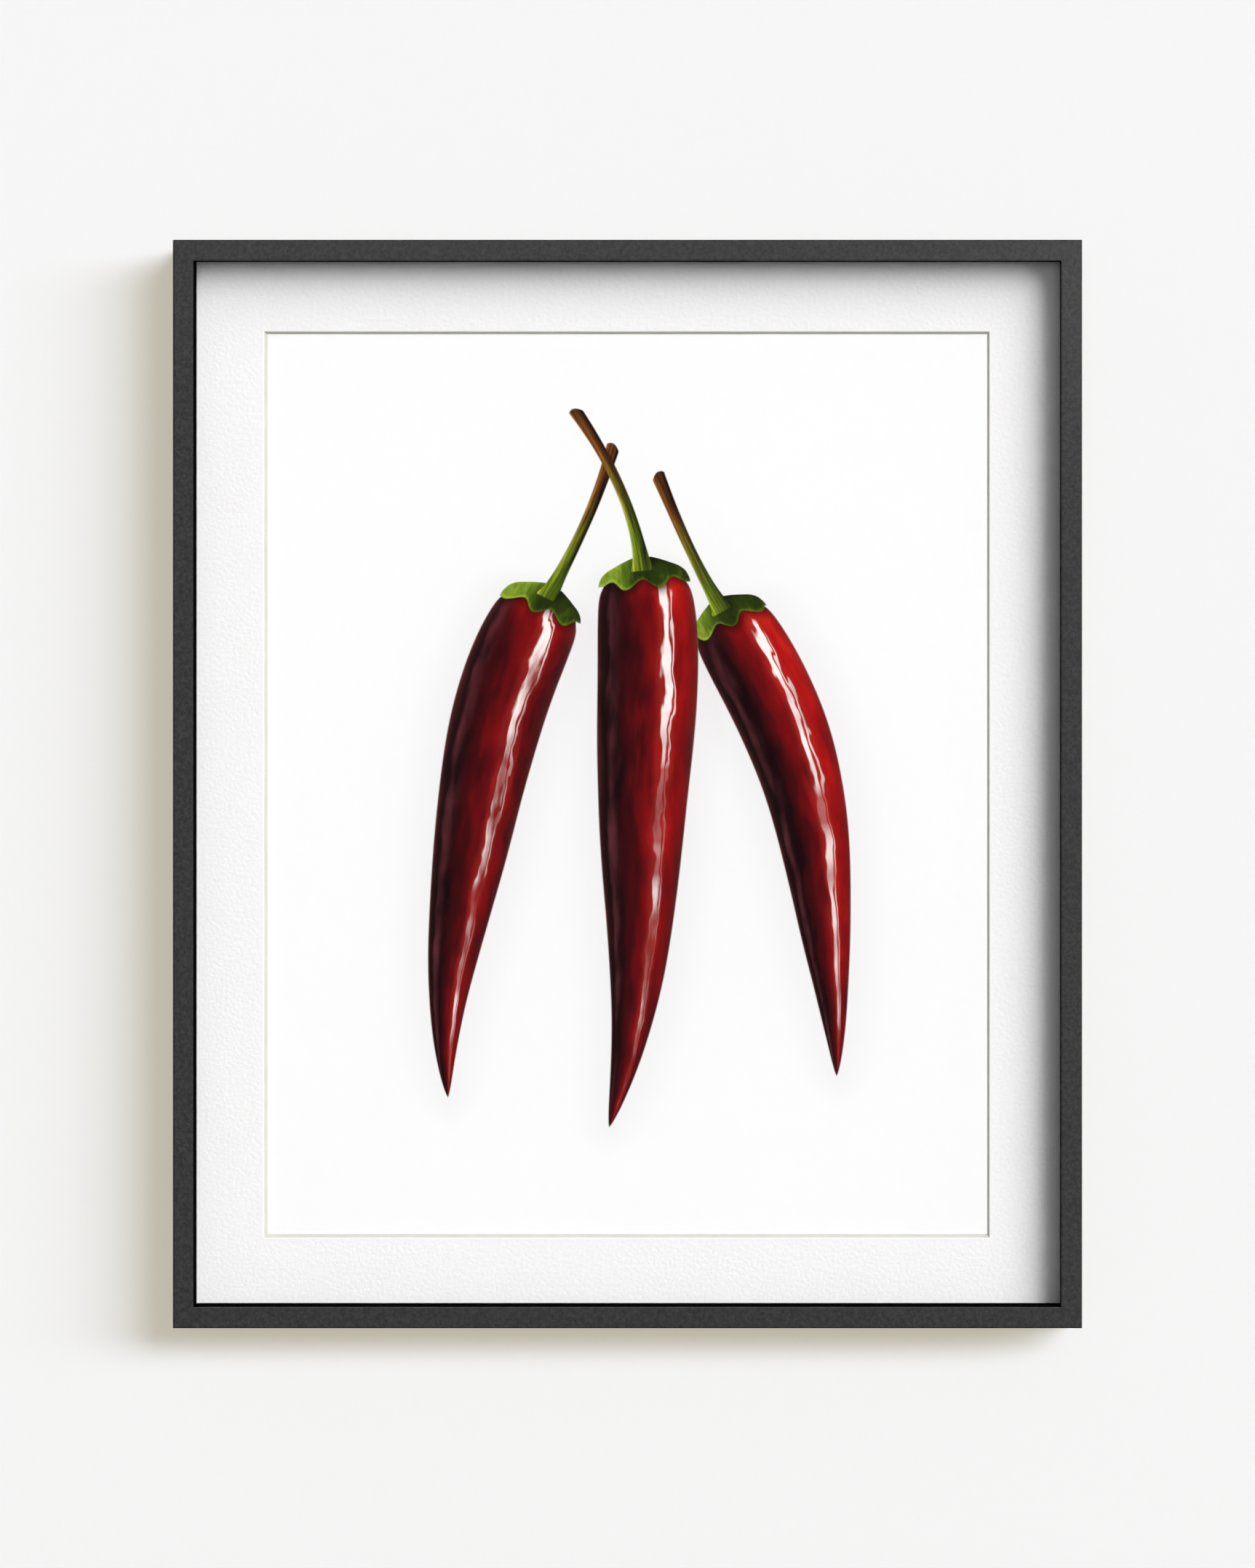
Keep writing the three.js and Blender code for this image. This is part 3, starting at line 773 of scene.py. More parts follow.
def printed_paper():
    """To the eye it is a clean matt white, and the red stands on it with a faint gloss."""
    material, add = new_material("paper_cotton_rag_inkjet")
    place = add("ShaderNodeTexCoord").outputs["Object"]
    from_middle = add(VECTOR, place, MIDDLE, operation="SUBTRACT")
    millimetres = add(VECTOR, from_middle, sockets={3: 1 / MM}, operation="SCALE")
    across, _, up = add("ShaderNodeSeparateXYZ", millimetres).outputs
    flat = add("ShaderNodeCombineXYZ", across, up, 0.0)
    tooth_width = 0.5 * MM
    tooth = add(NOISE, place, sockets={"Scale": 1 / tooth_width, "Detail": 2.0})
    colour = set_stops(add(RAMP, tooth), [(0.3, "#f1f1f1"), (0.7, "#f4f4f4")])
    ink = 0.0
    for spec in CHILLIES:
        chilli = add("ShaderNodeGroup", flat, node_tree=chilli_group(spec))
        paint, mask, shade = chilli.outputs
        for share, tint in ((shade, linear("#6b3a3c")), (mask, paint)):
            colour = add(BLEND, data_type="RGBA", sockets={SHARE: share, UNDER: colour, OVER: tint})
        ink = add(MATH, ink, mask, operation="MAXIMUM")
    gloss = add(RANGE, ink, 0.0, 1.0, 0.9, 0.62)
    bump = add(BUMP, sockets={"Height": tooth, "Distance": 0.03 * MM, "Strength": 0.4})
    surface = {"Base Color": colour, "Roughness": gloss, "Specular IOR Level": 0.15, "Normal": bump}
    return close_material(material, PRINCIPLED, sockets=surface)


paper = printed_paper()

# %% [markdown]
# ## Mesh helpers
#
# A solid that follows a section, such as a rail or the mat, is a grid of points: one row for
# each place along it, one column for each corner of the section. Such a grid can be bent, mitred
# and roughened point by point, which the ready-made primitives can't. Everything is built where
# it belongs, so every object keeps its origin at the frame's origin.

# %% Mesh helpers
SHARP_ANGLE = math.radians(35)


def make_piece(name, vertices, faces, materials, material_of=None):
    """An object from points and faces, with its materials, riding on the frame."""
    mesh = bpy.data.meshes.new(name)
    mesh.from_pydata(vertices, [], faces)
    for material in materials:
        mesh.materials.append(material)
    for index, polygon in enumerate(mesh.polygons):
        polygon.use_smooth = True
        if material_of:
            polygon.material_index = material_of[index]
    mesh.validate()
    mesh.update()
    solid = bmesh.new()
    solid.from_mesh(mesh)
    bmesh.ops.recalc_face_normals(solid, faces=solid.faces)
    for edge in solid.edges:
        edge.smooth = edge.calc_face_angle() < SHARP_ANGLE
    solid.to_mesh(mesh)
    solid.free()
    piece = bpy.data.objects.new(name, mesh)
    bpy.context.scene.collection.objects.link(piece)
    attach(piece, ROOT)
    print(f"{name}: {len(mesh.vertices)} points, {len(mesh.polygons)} faces")
    return piece


def round_corner(centre, radius, start, end, steps):
    """Points of an arc between two angles in degrees, both ends included."""
    angles = [math.radians(start + (end - start) * i / steps) for i in range(steps + 1)]
    return [(centre[0] + radius * math.cos(a), centre[1] + radius * math.sin(a)) for a in angles]


def ring_faces(count, rings, closed=False):
    """Quads from each ring of count points to the next, and if closed from the last to the first."""
    faces = []
    for ring in range(rings if closed else rings - 1):
        a, b = ring * count, (ring + 1) % rings * count
        faces += [(a + i, a + (i + 1) % count, b + (i + 1) % count, b + i) for i in range(count)]
    return faces


# %% [markdown]
# ## The rails
#
# A rail is sawn from a run of moulding, and both ends are cut at 45 degrees. The section is an L:
# a lip in front, 12 mm wide, and a 5 mm wall beside the rebate. Sweeping the section as a curve
# would be quick, but lacquer on wood is never quite flat, so the rail is a grid with a row every
# 1.5 mm, and each point of its face is pushed in by up to a few hundredths of a millimetre of
# noise. The noise depends only on the place, so the surface runs on round the corners. On the
# left rail the black of the sight edge also covers the small arris before it: painted shade
# that widens the dark line along that edge.

# %% Rails
GLAZING_PLAY = 0.1 * MM
LIP_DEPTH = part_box("glazing")[0].y - FACE_Y - GLAZING_PLAY
REBATE_WALL = 5 * MM
ROW_PITCH = 1.5 * MM
LACQUER, SIGHT_EDGE, BARE = 0, 1, 2
# on the left the arris takes the sight edge's black: painted shade that widens the dark line
ARRIS_FINISHES_WITH_PAINTED_SHADE = {"top": LACQUER, "bottom": LACQUER, "left": SIGHT_EDGE, "right": LACQUER}


def divide(start, end, count):
    """Points from start towards end, without the last one."""
    return [tuple(s + (e - s) * i / count for s, e in zip(start, end)) for i in range(count)]


def rail_section(side):
    """The section's points, as (inward, y), and the material of the strip after each."""
    outer, inner, back = 0.8 * MM, 0.5 * MM, 0.3 * MM
    lip_back = FACE_Y + LIP_DEPTH
    outside = divide((0, RAIL_BACK_Y - back), (0, FACE_Y + outer), 18)
    front_edge = round_corner((outer, FACE_Y + outer), outer, 180, 270, 6)[:-1]
    face = divide((outer, FACE_Y), (FACE_WIDTH - inner, FACE_Y), 9)
    sight_arris = round_corner((FACE_WIDTH - inner, FACE_Y + inner), inner, 270, 360, 5)[:-1]
    sight = divide((FACE_WIDTH, FACE_Y + inner), (FACE_WIDTH, lip_back), 3)
    lip = divide((FACE_WIDTH, lip_back), (REBATE_WALL, lip_back), 3)
    rebate = divide((REBATE_WALL, lip_back), (REBATE_WALL, RAIL_BACK_Y - back), 8)
    back_in = round_corner((REBATE_WALL - back, RAIL_BACK_Y - back), back, 0, 90, 2)[:-1]
    back_flat = divide((REBATE_WALL - back, RAIL_BACK_Y), (back, RAIL_BACK_Y), 2)
    back_out = round_corner((back, RAIL_BACK_Y - back), back, 90, 180, 2)[:-1]
    # the sight edge and the lip take the black that is partly painted shade for the recess
    strips = [(outside, LACQUER), (front_edge, LACQUER), (face, LACQUER),
              (sight_arris, ARRIS_FINISHES_WITH_PAINTED_SHADE[side]), (sight, SIGHT_EDGE), (lip, SIGHT_EDGE),
              (rebate, BARE), (back_in, BARE), (back_flat, BARE), (back_out, BARE)]
    points = [point for strip, _ in strips for point in strip]
    finishes = [finish for strip, finish in strips for _ in strip]
    return points, finishes


WAVY_DEPTH = 0.1 * MM


def lacquer_waves(place):
    """How far the lacquer stands proud at a place, at most about 0.04 mm."""
    broad = noise.noise(place / (9 * MM))
    narrow = noise.noise(place / (3.2 * MM) + Vector((7, 3, 5)))
    return (0.022 * broad + 0.018 * narrow) * MM


def model_rail(side, turn, length, from_middle, materials):
    """A rail swept along X, turned about the frame's middle to its side, with mitred ends."""
    points, finishes = rail_section(side)
    count = len(points)
    rows = round(length / ROW_PITCH)
    cosine, sine = round(math.cos(turn)), round(math.sin(turn))
    vertices = []
    for row in range(rows + 1):
        reach = 2 * row / rows - 1
        for inward, y in points:
            x = reach * (length / 2 - inward)
            z = from_middle - inward
            place = Vector((cosine * x + sine * z, y, cosine * z - sine * x)) + MIDDLE
            if y < FACE_Y + WAVY_DEPTH:
                place.y += max(0.0, lacquer_waves(place))
            vertices.append(place)
    ends = [tuple(range(count)), tuple(rows * count + i for i in range(count))]
    faces = ring_faces(count, rows + 1) + ends
    slots = finishes * rows + [BARE, BARE]
    piece = make_piece(f"moulding_{side}", vertices, faces, materials, slots)
    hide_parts(f"rail_{side}")
    return piece


RAIL_PLACES = [
    ("top", 0, 2 * HALF_WIDTH, HALF_HEIGHT, wood_level),
    ("bottom", math.pi, 2 * HALF_WIDTH, HALF_HEIGHT, wood_level),
    ("left", -math.pi / 2, 2 * HALF_HEIGHT, HALF_WIDTH, wood_upright),
    ("right", math.pi / 2, 2 * HALF_HEIGHT, HALF_WIDTH, wood_upright),
]
rails = [
    model_rail(side, turn, length, from_middle, [lacquer, sight_black, wood])
    for side, turn, length, from_middle, wood in RAIL_PLACES
]

# %% [markdown]
# ## The window mat
#
# A mat cutter slants its blade, so the window has a bevel that shows the cream core between the
# facing paper and the backing paper, which are two thin white lines along it. The blade was
# guided by hand, so no two bevels are quite as wide. Four flat strips would do, but then the
# corners wouldn't close: the mat is a chain of oblong rings instead, from the back over the outer
# edge and the face and down the bevel, and the last ring closes on the first.

# %% Window mat
MAT_LOW, MAT_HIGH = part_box("window_mat")
WINDOW_HALF_WIDTH = 203.5 * MM
WINDOW_HALF_HEIGHT = 254.5 * MM
BEVEL_WIDTHS = (2.2 * MM, 1.1 * MM, 1.4 * MM, 2.3 * MM)  # left, right, top, bottom
FACING, BACKING = 0.2 * MM, 0.1 * MM
MAT_FACE, MAT_CORE = 0, 1
FACE_RINGS = 8
STEPS_ACROSS, STEPS_DOWN = 50, 60


def oblong(left, right, top, bottom, y):
    """Points round an oblong, clockwise from its upper left corner, evenly along each side."""
    corners = [(-left, top), (right, top), (right, -bottom), (-left, -bottom)]
    ring = []
    for i, steps in enumerate((STEPS_ACROSS, STEPS_DOWN, STEPS_ACROSS, STEPS_DOWN)):
        ring += divide(corners[i], corners[(i + 1) % 4], steps)
    return [Vector((x, y, z)) + MIDDLE for x, z in ring]


def mat_rings():
    """The mat's rings: the four reaches and the depth of each, and the finish of what follows it."""
    thickness = MAT_HIGH.y - MAT_LOW.y
    outer = (MAT_HIGH.x, MAT_HIGH.x, MAT_HIGH.z - MIDDLE.z, MAT_HIGH.z - MIDDLE.z)
    window = (WINDOW_HALF_WIDTH, WINDOW_HALF_WIDTH, WINDOW_HALF_HEIGHT, WINDOW_HALF_HEIGHT)
    lip = tuple(reach + width for reach, width in zip(window, BEVEL_WIDTHS))
    edge = ((thickness, MAT_FACE), (thickness - BACKING, MAT_CORE), (FACING, MAT_FACE))
    rings = [(outer, MAT_LOW.y + depth, finish) for depth, finish in edge]
    for i in range(FACE_RINGS + 1):
        size = tuple(o + (l - o) * i / FACE_RINGS for o, l in zip(outer, lip))
        rings.append((size, MAT_LOW.y, MAT_FACE))
    for depth, finish in ((FACING, MAT_CORE), (thickness - BACKING, MAT_FACE), (thickness, MAT_FACE)):
        size = tuple(l + (w - l) * depth / thickness for l, w in zip(lip, window))
        rings.append((size, MAT_LOW.y + depth, finish))
    return rings


def model_mat(materials):
    """The mat as a closed chain of its rings."""
    rings = mat_rings()
    count = 2 * (STEPS_ACROSS + STEPS_DOWN)
    vertices = [point for reaches, y, _ in rings for point in oblong(*reaches, y)]
    slots = [finish for _, _, finish in rings for _ in range(count)]
    faces = ring_faces(count, len(rings), closed=True)
    piece = make_piece("mat_bevelled", vertices, faces, materials, slots)
    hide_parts("window_mat")


model_mat([mat_face, mat_core])

# %% [markdown]
# ## Framer's points
#
# Twelve points hold the sandwich in the rebate: three in each rail. A point is a strip of thin
# steel, shot flat into the wood over the back panel, with two pressed ribs that stiffen it, and
# its free end is turned up a little so that a finger can bend it. A flat plate would lose the
# ribs, so the strip is a pressed sheet: a grid with a height at every place, on both sides.

# %% Framer's points
POINTS_PER_RAIL = 3
POINT_PITCH_SHARE = 0.34
POINT_HALF_WIDTH = 3.5 * MM
POINT_LENGTH = 16 * MM
POINT_TAPER = 2 * MM
POINT_CORNER = 1.0 * MM
POINT_THICKNESS = 0.6 * MM
POINT_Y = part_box("point_top_1")[0].y
POINT_FREE_LENGTH = 12 * MM
RIB_OFFSET, RIB_HALF_WIDTH, RIB_HEIGHT = 1.6 * MM, 0.75 * MM, 0.4 * MM
RIB_START, RIB_END, RIB_RUN_OUT = 2.5 * MM, 11.5 * MM, 1.5 * MM
TAB_LENGTH, TAB_LIFT = 2.5 * MM, 0.9 * MM


def point_half_width(u):
    """Half of a point's width at u, from its free end to its tip in the wood."""
    if u < POINT_CORNER:
        return POINT_HALF_WIDTH - POINT_CORNER + math.sqrt(POINT_CORNER**2 - (POINT_CORNER - u) ** 2)
    return POINT_HALF_WIDTH * min(1.0, 0.04 + (POINT_LENGTH - u) / POINT_TAPER)


def point_height(u, v):
    """How far the pressed sheet stands up at u, v."""
    ends = min(1.0, max(0.0, (u - RIB_START) / RIB_RUN_OUT), max(0.0, (RIB_END - u) / RIB_RUN_OUT))
    across = max(0.0, 1 - ((abs(v) - RIB_OFFSET) / RIB_HALF_WIDTH) ** 2)
    tab = max(0.0, 1 - u / TAB_LENGTH) ** 2
    return RIB_HEIGHT * across * math.sin(ends * math.pi / 2) + TAB_LIFT * tab


def model_point(name, to_world, material):
    """A point from its two skins and the rim between them."""
    rows, columns = 40, 26
    vertices = []
    for thickness in (0.0, POINT_THICKNESS):
        for row in range(rows + 1):
            u = POINT_LENGTH * row / rows
            for column in range(columns + 1):
                v = point_half_width(u) * (2 * column / columns - 1)
                vertices.append(to_world(u, v, POINT_Y + thickness + point_height(u, v)))
    width = columns + 1
    layer = (rows + 1) * width
    faces = []
    for row in range(rows):
        for column in range(columns):
            a = row * width + column
            faces.append((a, a + 1, a + width + 1, a + width))
            faces.append((layer + a, layer + a + width, layer + a + width + 1, layer + a + 1))
    rim = [(0, c) for c in range(columns)] + [(r, columns) for r in range(rows)]
    rim += [(rows, c) for c in range(columns, 0, -1)] + [(r, 0) for r in range(rows, 0, -1)]
    for i, (row, column) in enumerate(rim):
        next_row, next_column = rim[(i + 1) % len(rim)]
        a, b = row * width + column, next_row * width + next_column
        faces.append((a, layer + a, layer + b, b))
    piece = make_piece(f"framers_{name}", vertices, faces, [material])
    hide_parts(name)


for side, turn, length, from_middle, _ in RAIL_PLACES:
    cosine, sine = round(math.cos(turn)), round(math.sin(turn))
    free_end = from_middle - REBATE_WALL - POINT_FREE_LENGTH
    for i in range(POINTS_PER_RAIL):
        middle_x = (i - 1) * POINT_PITCH_SHARE * length

        def to_world(u, v, y):
            x, z = middle_x + v, free_end + u
            return Vector((cosine * x + sine * z, y, cosine * z - sine * x)) + MIDDLE

        model_point(f"point_{side}_{i + 1}", to_world, steel)

# %% [markdown]
# ## Hanger and V-nails
#
# The sawtooth hanger is a stamped plate, its edges rounded by the die. A V-nail is a strip of
# steel bent to a V with curled ends, driven into the back of each mitre until it is all but
# flush. Both are outlines with a thickness.

# %% Hanger and V-nails


def stamp(outline, front_y, back_y, edge_round):
    """A bmesh plate from an outline in x and z, its edges rounded."""
    solid = bmesh.new()
    front = solid.faces.new([solid.verts.new((x, front_y, z)) for x, z in outline])
    extruded = bmesh.ops.extrude_face_region(solid, geom=[front])["geom"]
    moved = [item for item in extruded if isinstance(item, bmesh.types.BMVert)]
    bmesh.ops.translate(solid, vec=(0, back_y - front_y, 0), verts=moved)
    rims = [edge for edge in solid.edges if abs(edge.verts[0].co.y - edge.verts[1].co.y) < 0.01 * MM]
    bmesh.ops.bevel(solid, geom=rims, offset=edge_round, segments=3, affect="EDGES", clamp_overlap=True)
    return solid


def finish_stamp(solid, name, node, material):
    """Turns a bmesh into the piece that takes the place of a node."""
    solid.verts.index_update()
    vertices = [vertex.co.copy() for vertex in solid.verts]
    faces = [[vertex.index for vertex in face.verts] for face in solid.faces]
    solid.free()
    piece = make_piece(name, vertices, faces, [material])
    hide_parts(node)


hanger_low, hanger_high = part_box("hanger")
NOTCH_COUNT, NOTCH_PITCH, NOTCH_HALF_TIP = 11, 2.5 * MM, 0.08 * MM
HANGER_CORNER, HANGER_ROUND = 1.5 * MM, 0.12 * MM
foot_z, top_z, side_x = hanger_low.z, hanger_high.z, hanger_high.x
outline = round_corner((-side_x + HANGER_CORNER, top_z - HANGER_CORNER), HANGER_CORNER, 90, 180, 6)
outline += round_corner((-side_x + HANGER_CORNER, foot_z + HANGER_CORNER), HANGER_CORNER, 180, 270, 6)
row_start = -NOTCH_COUNT * NOTCH_PITCH / 2
outline.append((row_start, foot_z))
for notch in range(NOTCH_COUNT):
    x = row_start + notch * NOTCH_PITCH
    tip_x = x + NOTCH_PITCH / 2
    outline += [(tip_x - NOTCH_HALF_TIP, 0.0), (tip_x + NOTCH_HALF_TIP, 0.0), (x + NOTCH_PITCH, foot_z)]
outline += round_corner((side_x - HANGER_CORNER, foot_z + HANGER_CORNER), HANGER_CORNER, 270, 360, 6)
outline += round_corner((side_x - HANGER_CORNER, top_z - HANGER_CORNER), HANGER_CORNER, 0, 90, 6)
hanger = stamp(outline, hanger_low.y, hanger_high.y, HANGER_ROUND)
finish_stamp(hanger, "hanger_stamped", "hanger", steel)

V_NAIL_INSET, V_NAIL_LEG, V_NAIL_HALF = 2.5 * MM, 6.5 * MM, 0.25 * MM
V_NAIL_DEPTH, V_NAIL_PROUD, V_NAIL_ROUND = 10 * MM, 0.05 * MM, 0.08 * MM
V_NAIL_CURL, V_NAIL_BEND = 0.9 * MM, 0.6 * MM


def v_nail_outline():
    """The bent strip's outline, as distances inward from the frame's two outer sides."""
    end = V_NAIL_INSET + V_NAIL_LEG
    leg = [(end + V_NAIL_CURL * math.sin(a), V_NAIL_INSET + V_NAIL_CURL * (1 - math.cos(a)))
           for a in (math.radians(angle) for angle in range(140, -1, -20))]
    bend_centre = V_NAIL_INSET + V_NAIL_BEND
    bend = round_corner((bend_centre, bend_centre), V_NAIL_BEND, 270, 180, 6)
    path = [Vector(p) for p in leg + bend + [(b, a) for a, b in reversed(leg)]]
    sides = ([], [])
    for i, place in enumerate(path):
        ahead = (path[min(i + 1, len(path) - 1)] - path[max(i - 1, 0)]).normalized()
        across = Vector((-ahead.y, ahead.x)) * V_NAIL_HALF
        sides[0].append(place + across)
        sides[1].append(place - across)
    return sides[0] + sides[1][::-1]


for name, sign_x, sign_z in (("top_left", -1, 1), ("top_right", 1, 1), ("bottom_left", -1, -1),
                             ("bottom_right", 1, -1)):
    corner = Vector((sign_x * HALF_WIDTH, MIDDLE.z + sign_z * HALF_HEIGHT))
    outline = [(corner.x - sign_x * p.x, corner.y - sign_z * p.y) for p in v_nail_outline()]
    nail = stamp(outline, RAIL_BACK_Y - V_NAIL_DEPTH, RAIL_BACK_Y + V_NAIL_PROUD, V_NAIL_ROUND)
    finish_stamp(nail, f"v_nail_bent_{name}", f"v_nail_{name}", steel)

# %% [markdown]
# ## Spacers
#
# Four strips of black plastic keep the mat off the acrylic. They are cut and stuck in by hand. The
# left one lies flush with the lip and the lower one peeps out 0.6 mm, which makes the black line
# deeper there. The upper and the right one stand back behind the lip, so that only its own edge
# shows. Boxes would do, but cut plastic has soft edges, which the same stamp as above gives.

# %% Spacers
SPACER_SETBACK, SPACER_ROUND = 2.0 * MM, 0.15 * MM
SPACER_TRIMS = {  # how far the left, right, lower and upper side of a strip is moved, in set-backs
    "top": (0, 0, 1, 0), "bottom": (0, 0, 0, 0.3),
    "left": (0, 0, 0.3, 1), "right": (1, 0, 0.3, 1),
}


def model_spacer(side):
    """A strip that fills its node's box but for the trims."""
    low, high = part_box(f"spacer_{side}")
    trims = [SPACER_SETBACK * trim for trim in SPACER_TRIMS[side]]
    left, right, bottom, top = [a + b for a, b in zip((low.x, high.x, low.z, high.z), trims)]
    outline = [(left, bottom), (right, bottom), (right, top), (left, top)]
    strip = stamp(outline, low.y, high.y, SPACER_ROUND)
    finish_stamp(strip, f"spacer_strip_{side}", f"spacer_{side}", spacer_black)


for side in SPACER_TRIMS:
    model_spacer(side)

# %% [markdown]
# ## Felt pads
#
# Two felt pads at the bottom corners keep the frame off the wall. Felt is cut with soft edges and
# has a fuzzy surface, so each pad is a stack of rings with rounded ends, roughened by noise. This
# kind of noise has a seed, which is set so that every run gives the same fuzz.

# %% Felt pads
PAD_RINGS = [(0.0, share) for share in (0.15, 0.4, 0.65, 0.85, 0.95)]
PAD_RINGS += [(0.06, 1.0), (0.2, 1.0), (0.4, 1.0), (0.6, 1.0), (0.8, 1.0), (0.93, 0.99)]
PAD_RINGS += [(1.0, share) for share in (0.93, 0.8, 0.6, 0.4, 0.15)]
FUZZ_WIDTH, FUZZ_HEIGHT = 0.7 * MM, 0.11 * MM
FUZZ_SEED = 7

noise.seed_set(FUZZ_SEED)


def model_pad(side):
    """A pad from rings: out over the front, back along the edge and in over the back."""
    low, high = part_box(f"wall_pad_{side}")
    middle = (low + high) / 2
    radius = (high.z - low.z) / 2
    straight = (high.x - low.x) / 2 - radius
    thickness = high.y - low.y
    arc, line = 20, 24
    vertices = []
    for depth, share in PAD_RINGS:
        right = round_corner((straight, 0), radius * share, 90, -90, arc)
        left = round_corner((-straight, 0), radius * share, 270, 90, arc)
        loop = right[:-1] + divide(right[-1], left[0], line) + left[:-1] + divide(left[-1], right[0], line)
        for x, z in loop:
            place = Vector((middle.x + x, low.y + thickness * depth, middle.z + z))
            place += noise.noise_vector(place / FUZZ_WIDTH) * FUZZ_HEIGHT
            place.y = min(high.y, max(low.y, place.y))
            vertices.append(place)
    count = len(loop)
    ends = [tuple(range(count)), tuple(len(vertices) - count + i for i in range(count))]
    faces = ends + ring_faces(count, len(PAD_RINGS))
    piece = make_piece(f"felt_pad_{side}", vertices, faces, [felt])
    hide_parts(f"wall_pad_{side}")


model_pad("left")
model_pad("right")

# %% [markdown]
# ## The flat layers
#
# The acrylic, the print, the tapes and the boards are plain cut sheets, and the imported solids
# already have their exact shape. They only get their finishes.

# %% Finish the flat layers


def finish_node(name, material):
    """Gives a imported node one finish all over."""
    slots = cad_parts[name].data.materials
    slots.clear()
    slots.append(material)
    print(f"{name}: {material.name}")


finish_node("glazing", acrylic)
finish_node("print_sheet", paper)
finish_node("mount_board", mat_face)
finish_node("back_panel", fibreboard)
for side in ("left", "right"):
    finish_node(f"hinge_tape_{side}", linen)
    finish_node(f"hanger_screw_{side}", steel)

# %% [markdown]
# ## The room
#
# The wall and the floor are only a stage. Both are matt paint with a faint glow of their own,
# which stands for the light that bounces about in a pale room: it lifts the wall's shadows and
# tints them warm, while the paint itself is a little cool, so that the lit wall comes out neutral.
# The glow shows to the camera alone. So does the wall, and only from its front: rays of light
# pass it, and the views from behind look through it at the frame's back.

# %% Wall and floor
WALL_COLOURS = "#c1c8d9", "#b1a993"
FLOOR_COLOURS = "#dadada", "#c3c3c2"
FLOOR_DROP = 1.45
ROOM_REACH = 8.0


def matt_paint(name, paint, glow, one_sided):
    """Paint that glows to the camera alone and, if it is one-sided, is clear to all else."""
    material, add = new_material(name)
    seen = add("ShaderNodeLightPath").outputs["Is Camera Ray"]
    matt = add("ShaderNodeBsdfDiffuse", linear(paint))
    bounce = add("ShaderNodeEmission", linear(glow), seen)
    if not one_sided:
        return close_material(material, "ShaderNodeAddShader", matt, bounce)
    shader = add("ShaderNodeAddShader", matt, bounce)
    clear = add("ShaderNodeBsdfTransparent", WHITE)
    back = add("ShaderNodeNewGeometry").outputs["Backfacing"]
    front = add(MATH, seen, back, operation="SUBTRACT", use_clamp=True)
    return close_material(material, "ShaderNodeMixShader", front, clear, shader)


def stage_plane(name, corners, material):
    """A flat piece of the room, which isn't part of the object."""
    mesh = bpy.data.meshes.new(name)
    mesh.from_pydata(corners, [], [(0, 1, 2, 3)])
    mesh.materials.append(material)
    plane = bpy.data.objects.new(name, mesh)
    bpy.context.scene.collection.objects.link(plane)
    return plane


floor_z = MIDDLE.z - FLOOR_DROP
r = ROOM_REACH
wall_corners = [(-r, 0, floor_z), (r, 0, floor_z), (r, 0, r), (-r, 0, r)]
floor_corners = [(-r, -r, floor_z), (r, -r, floor_z), (r, r, floor_z), (-r, r, floor_z)]
wall = stage_plane("wall", wall_corners, matt_paint("wall_paint_matt", *WALL_COLOURS, True))
floor = stage_plane("floor", floor_corners, matt_paint("floor_paint_matt", *FLOOR_COLOURS, False))

# %% [markdown]
# ## Light
#
# The light is a tall window at the upper right. It is so far away that it lights the whole frame
# alike, and it is an oval, because a shade whose edges fade in and out softly needs a lamp that
# thins out towards its ends. How far it reaches follows from the depth of the frame and the
# width of its shade: a lip that stands 12 mm over the mat shades it fully for 3 mm, as the
# nearest light has a slope of 0.24, and fades out at 43 mm, for a slope of 3.6. The wall is lit
# lower and sideways, and the flat print almost from the front, because its window shows no shade,
# so each has a lamp of its own by light linking.

# %% Lamp helpers
LAMP_DISTANCE = 100.0
LAMP_CELLS = 40


def add_lamp(name, kind, strength, receivers):
    """A lamp that the camera doesn't see and that lights the receivers, or everything."""
    lamp = bpy.data.lights.new(name, kind)
    lamp.energy = strength
    light = bpy.data.objects.new(name, lamp)
    light.visible_camera = False
    bpy.context.scene.collection.objects.link(light)
    if receivers:
        group = bpy.data.collections.new(f"{name}_receivers")
        for receiver in receivers:
            group.objects.link(receiver)
        light.light_linking.receiver_collection = group
    print(f"{name}: {len(receivers or [])} receivers, strength {strength:.3g}")
    return light


def add_window_lamp(name, slopes_x, slopes_z, lightness, receivers):
    """An oval lamp parallel to the wall that spans these slopes, for a white board this light."""
    middle_x, middle_z = sum(slopes_x) / 2, sum(slopes_z) / 2
    size_x, size_z = slopes_x[1] - slopes_x[0], slopes_z[1] - slopes_z[0]
    steps = [(i + 0.5) / LAMP_CELLS - 0.5 for i in range(LAMP_CELLS)]
    shares = [
        1 / (1 + (middle_x + size_x * i) ** 2 + (middle_z + size_z * j) ** 2) ** 2
        for i in steps for j in steps if i * i + j * j < 0.25
    ]
    share = sum(shares) / len(shares)
    strength = math.pi**2 * lightness * LAMP_DISTANCE**2 / share
    light = add_lamp(name, "AREA", strength, receivers)
    light.data.shape = "ELLIPSE"
    light.data.size, light.data.size_y = size_x * LAMP_DISTANCE, size_z * LAMP_DISTANCE
    light.location = MIDDLE + Vector((middle_x, -1, middle_z)) * LAMP_DISTANCE
    light.rotation_euler = (math.pi / 2, 0, 0)
    light.visible_glossy = False
    return light


def add_sun(name, towards, strength, disc, receivers):
    """A sun lamp that shines from the direction towards, with a disc of that many degrees."""
    light = add_lamp(name, "SUN", strength, receivers)
    light.data.angle = math.radians(disc)
    light.rotation_mode = "QUATERNION"
    light.rotation_quaternion = Vector(towards).to_track_quat("Z", "Y")
    return light


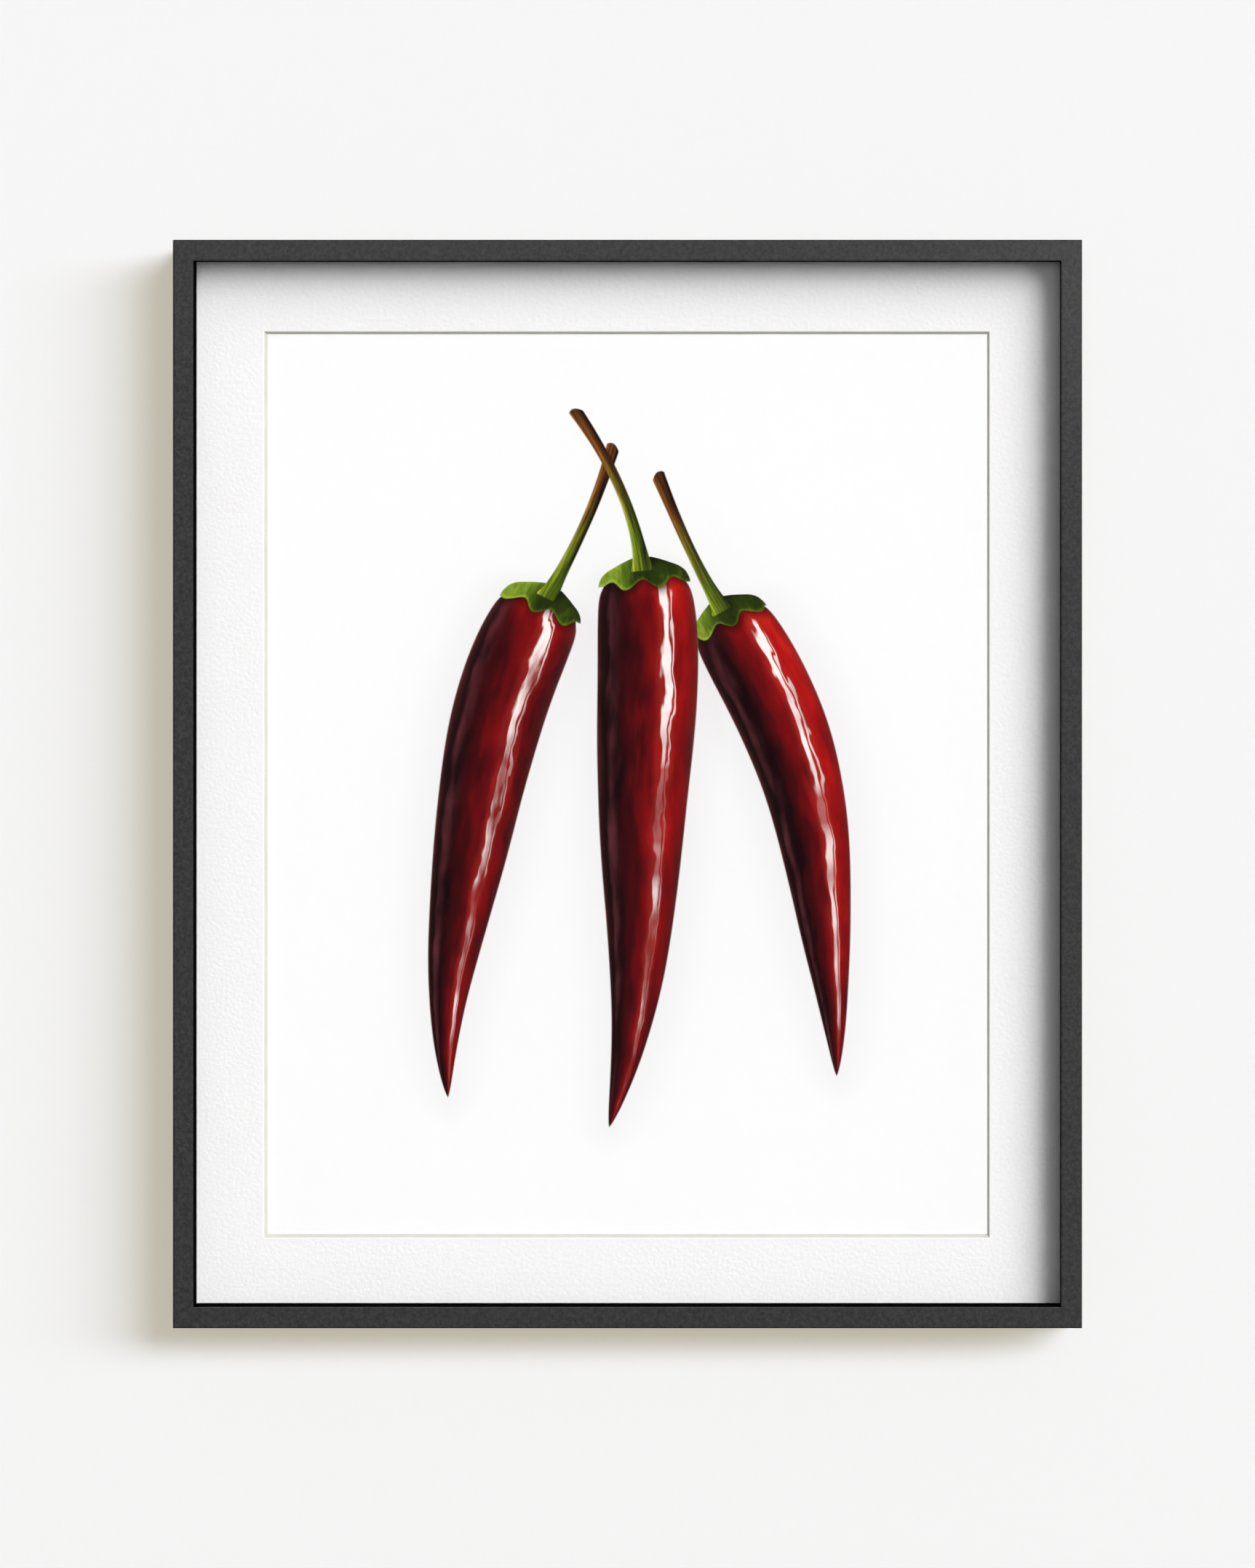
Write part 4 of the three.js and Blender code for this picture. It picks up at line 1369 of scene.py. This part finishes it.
# %% The window
print_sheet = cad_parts["print_sheet"]
frame_pieces = [o for o in bpy.context.scene.objects if o.type == "MESH" and o not in (wall, floor)]
window_pieces = [piece for piece in frame_pieces if piece != print_sheet]
add_window_lamp("window_on_frame", (0.24, 3.6), (-0.3, 4.6), 1.135, window_pieces)
add_window_lamp("window_on_print", (-0.1, 0.9), (-0.1, 0.9), 0.85, [print_sheet])
add_window_lamp("window_on_wall", (0.34, 3.79), (0.2, 0.91), 0.705, [wall])

# %% [markdown]
# A weak lamp from the front fills the shade, and one from behind lights the back. A lacquered
# rail at a slant would mirror these broad lamps as a white sheet, so they give diffuse light
# alone. Bare steel is all mirror and would be black without them: a broad sun, linked to the
# fittings, is what they mirror. Three small soft lamps give the lacquer the sheen that the face
# has towards its upper right corner.

# %% Fill, back light and sheen
BACK_LIGHT = (-0.9, 1.0, 0.7)
SHEEN_DISTANCE = 0.3


def add_sheen_lamp(name, place, size, strength):
    """A small soft lamp in front of the rails that shows only as a sheen on their lacquer."""
    light = add_lamp(name, "AREA", strength, rails)
    light.data.shape = "RECTANGLE"
    light.data.size, light.data.size_y = size
    light.location = MIDDLE + Vector((place[0], FACE_Y - SHEEN_DISTANCE, place[1]))
    light.rotation_euler = (math.pi / 2, 0, 0)
    light.visible_diffuse = False


fittings = [piece for piece in frame_pieces if steel.name in piece.data.materials]
fill = add_sun("fill", (0.0, -1.0, 0.0), 0.33, 40, None)
back_light = add_sun("back_light", BACK_LIGHT, 2.7, 40, frame_pieces)
for light in (fill, back_light):
    light.visible_glossy = False
add_sun("back_sheen", BACK_LIGHT, 2.2, 120, fittings)
add_sheen_lamp("sheen_top", (0.05, 0.37), (0.8, 0.05), 0.16)
add_sheen_lamp("sheen_corner", (0.31, 0.33), (0.12, 0.12), 0.09)
add_sheen_lamp("sheen_right", (0.36, -0.08), (0.05, 0.66), 0.09)

# %% [markdown]
# The rest of the room is pale too. What the camera sees of it is lighter than the light it
# gives, because the walls of a room are dimmer than they look beside a window.

# %% The pale room
ROOM_LIGHT, ROOM_SEEN = 0.132, 0.86

world = bpy.data.worlds.new("pale_room")
bpy.context.scene.world = world
world.use_nodes = True
world.node_tree.nodes.clear()
add = partial(add_node, world.node_tree)
glow = add("ShaderNodeBackground", WHITE, ROOM_LIGHT)
backdrop = add("ShaderNodeBackground", WHITE, ROOM_SEEN)
camera_ray = add("ShaderNodeLightPath").outputs["Is Camera Ray"]
room = add("ShaderNodeMixShader", camera_ray, glow, backdrop)
add("ShaderNodeOutputWorld", room)
print(f"room {ROOM_LIGHT} light, {ROOM_SEEN} seen")

# %% [markdown]
# ## Camera
#
# The camera stands 2 m in front of the frame's face, level with its middle. The image is 1725 x
# 2156 pixels, and 2.4465 of them go to a millimetre of the face, which gives the height of the
# view there, and with the distance the lens.

# %% Camera
VIEW_DISTANCE = 2.0
IMAGE_HEIGHT = 2156
PIXELS_PER_MM = 2.4465
SENSOR = 36.0

camera = bpy.data.cameras.new("camera")
camera.sensor_width = SENSOR
camera.lens = SENSOR * VIEW_DISTANCE / (IMAGE_HEIGHT / PIXELS_PER_MM * MM)
viewer = bpy.data.objects.new("camera", camera)
viewer.location = Vector((0, FACE_Y - VIEW_DISTANCE, MIDDLE.z))
viewer.rotation_euler = (math.pi / 2, 0, 0)
bpy.context.scene.collection.objects.link(viewer)
bpy.context.scene.camera = viewer
bpy.context.scene.view_settings.view_transform = "Standard"
print(f"lens {camera.lens:.1f} mm")
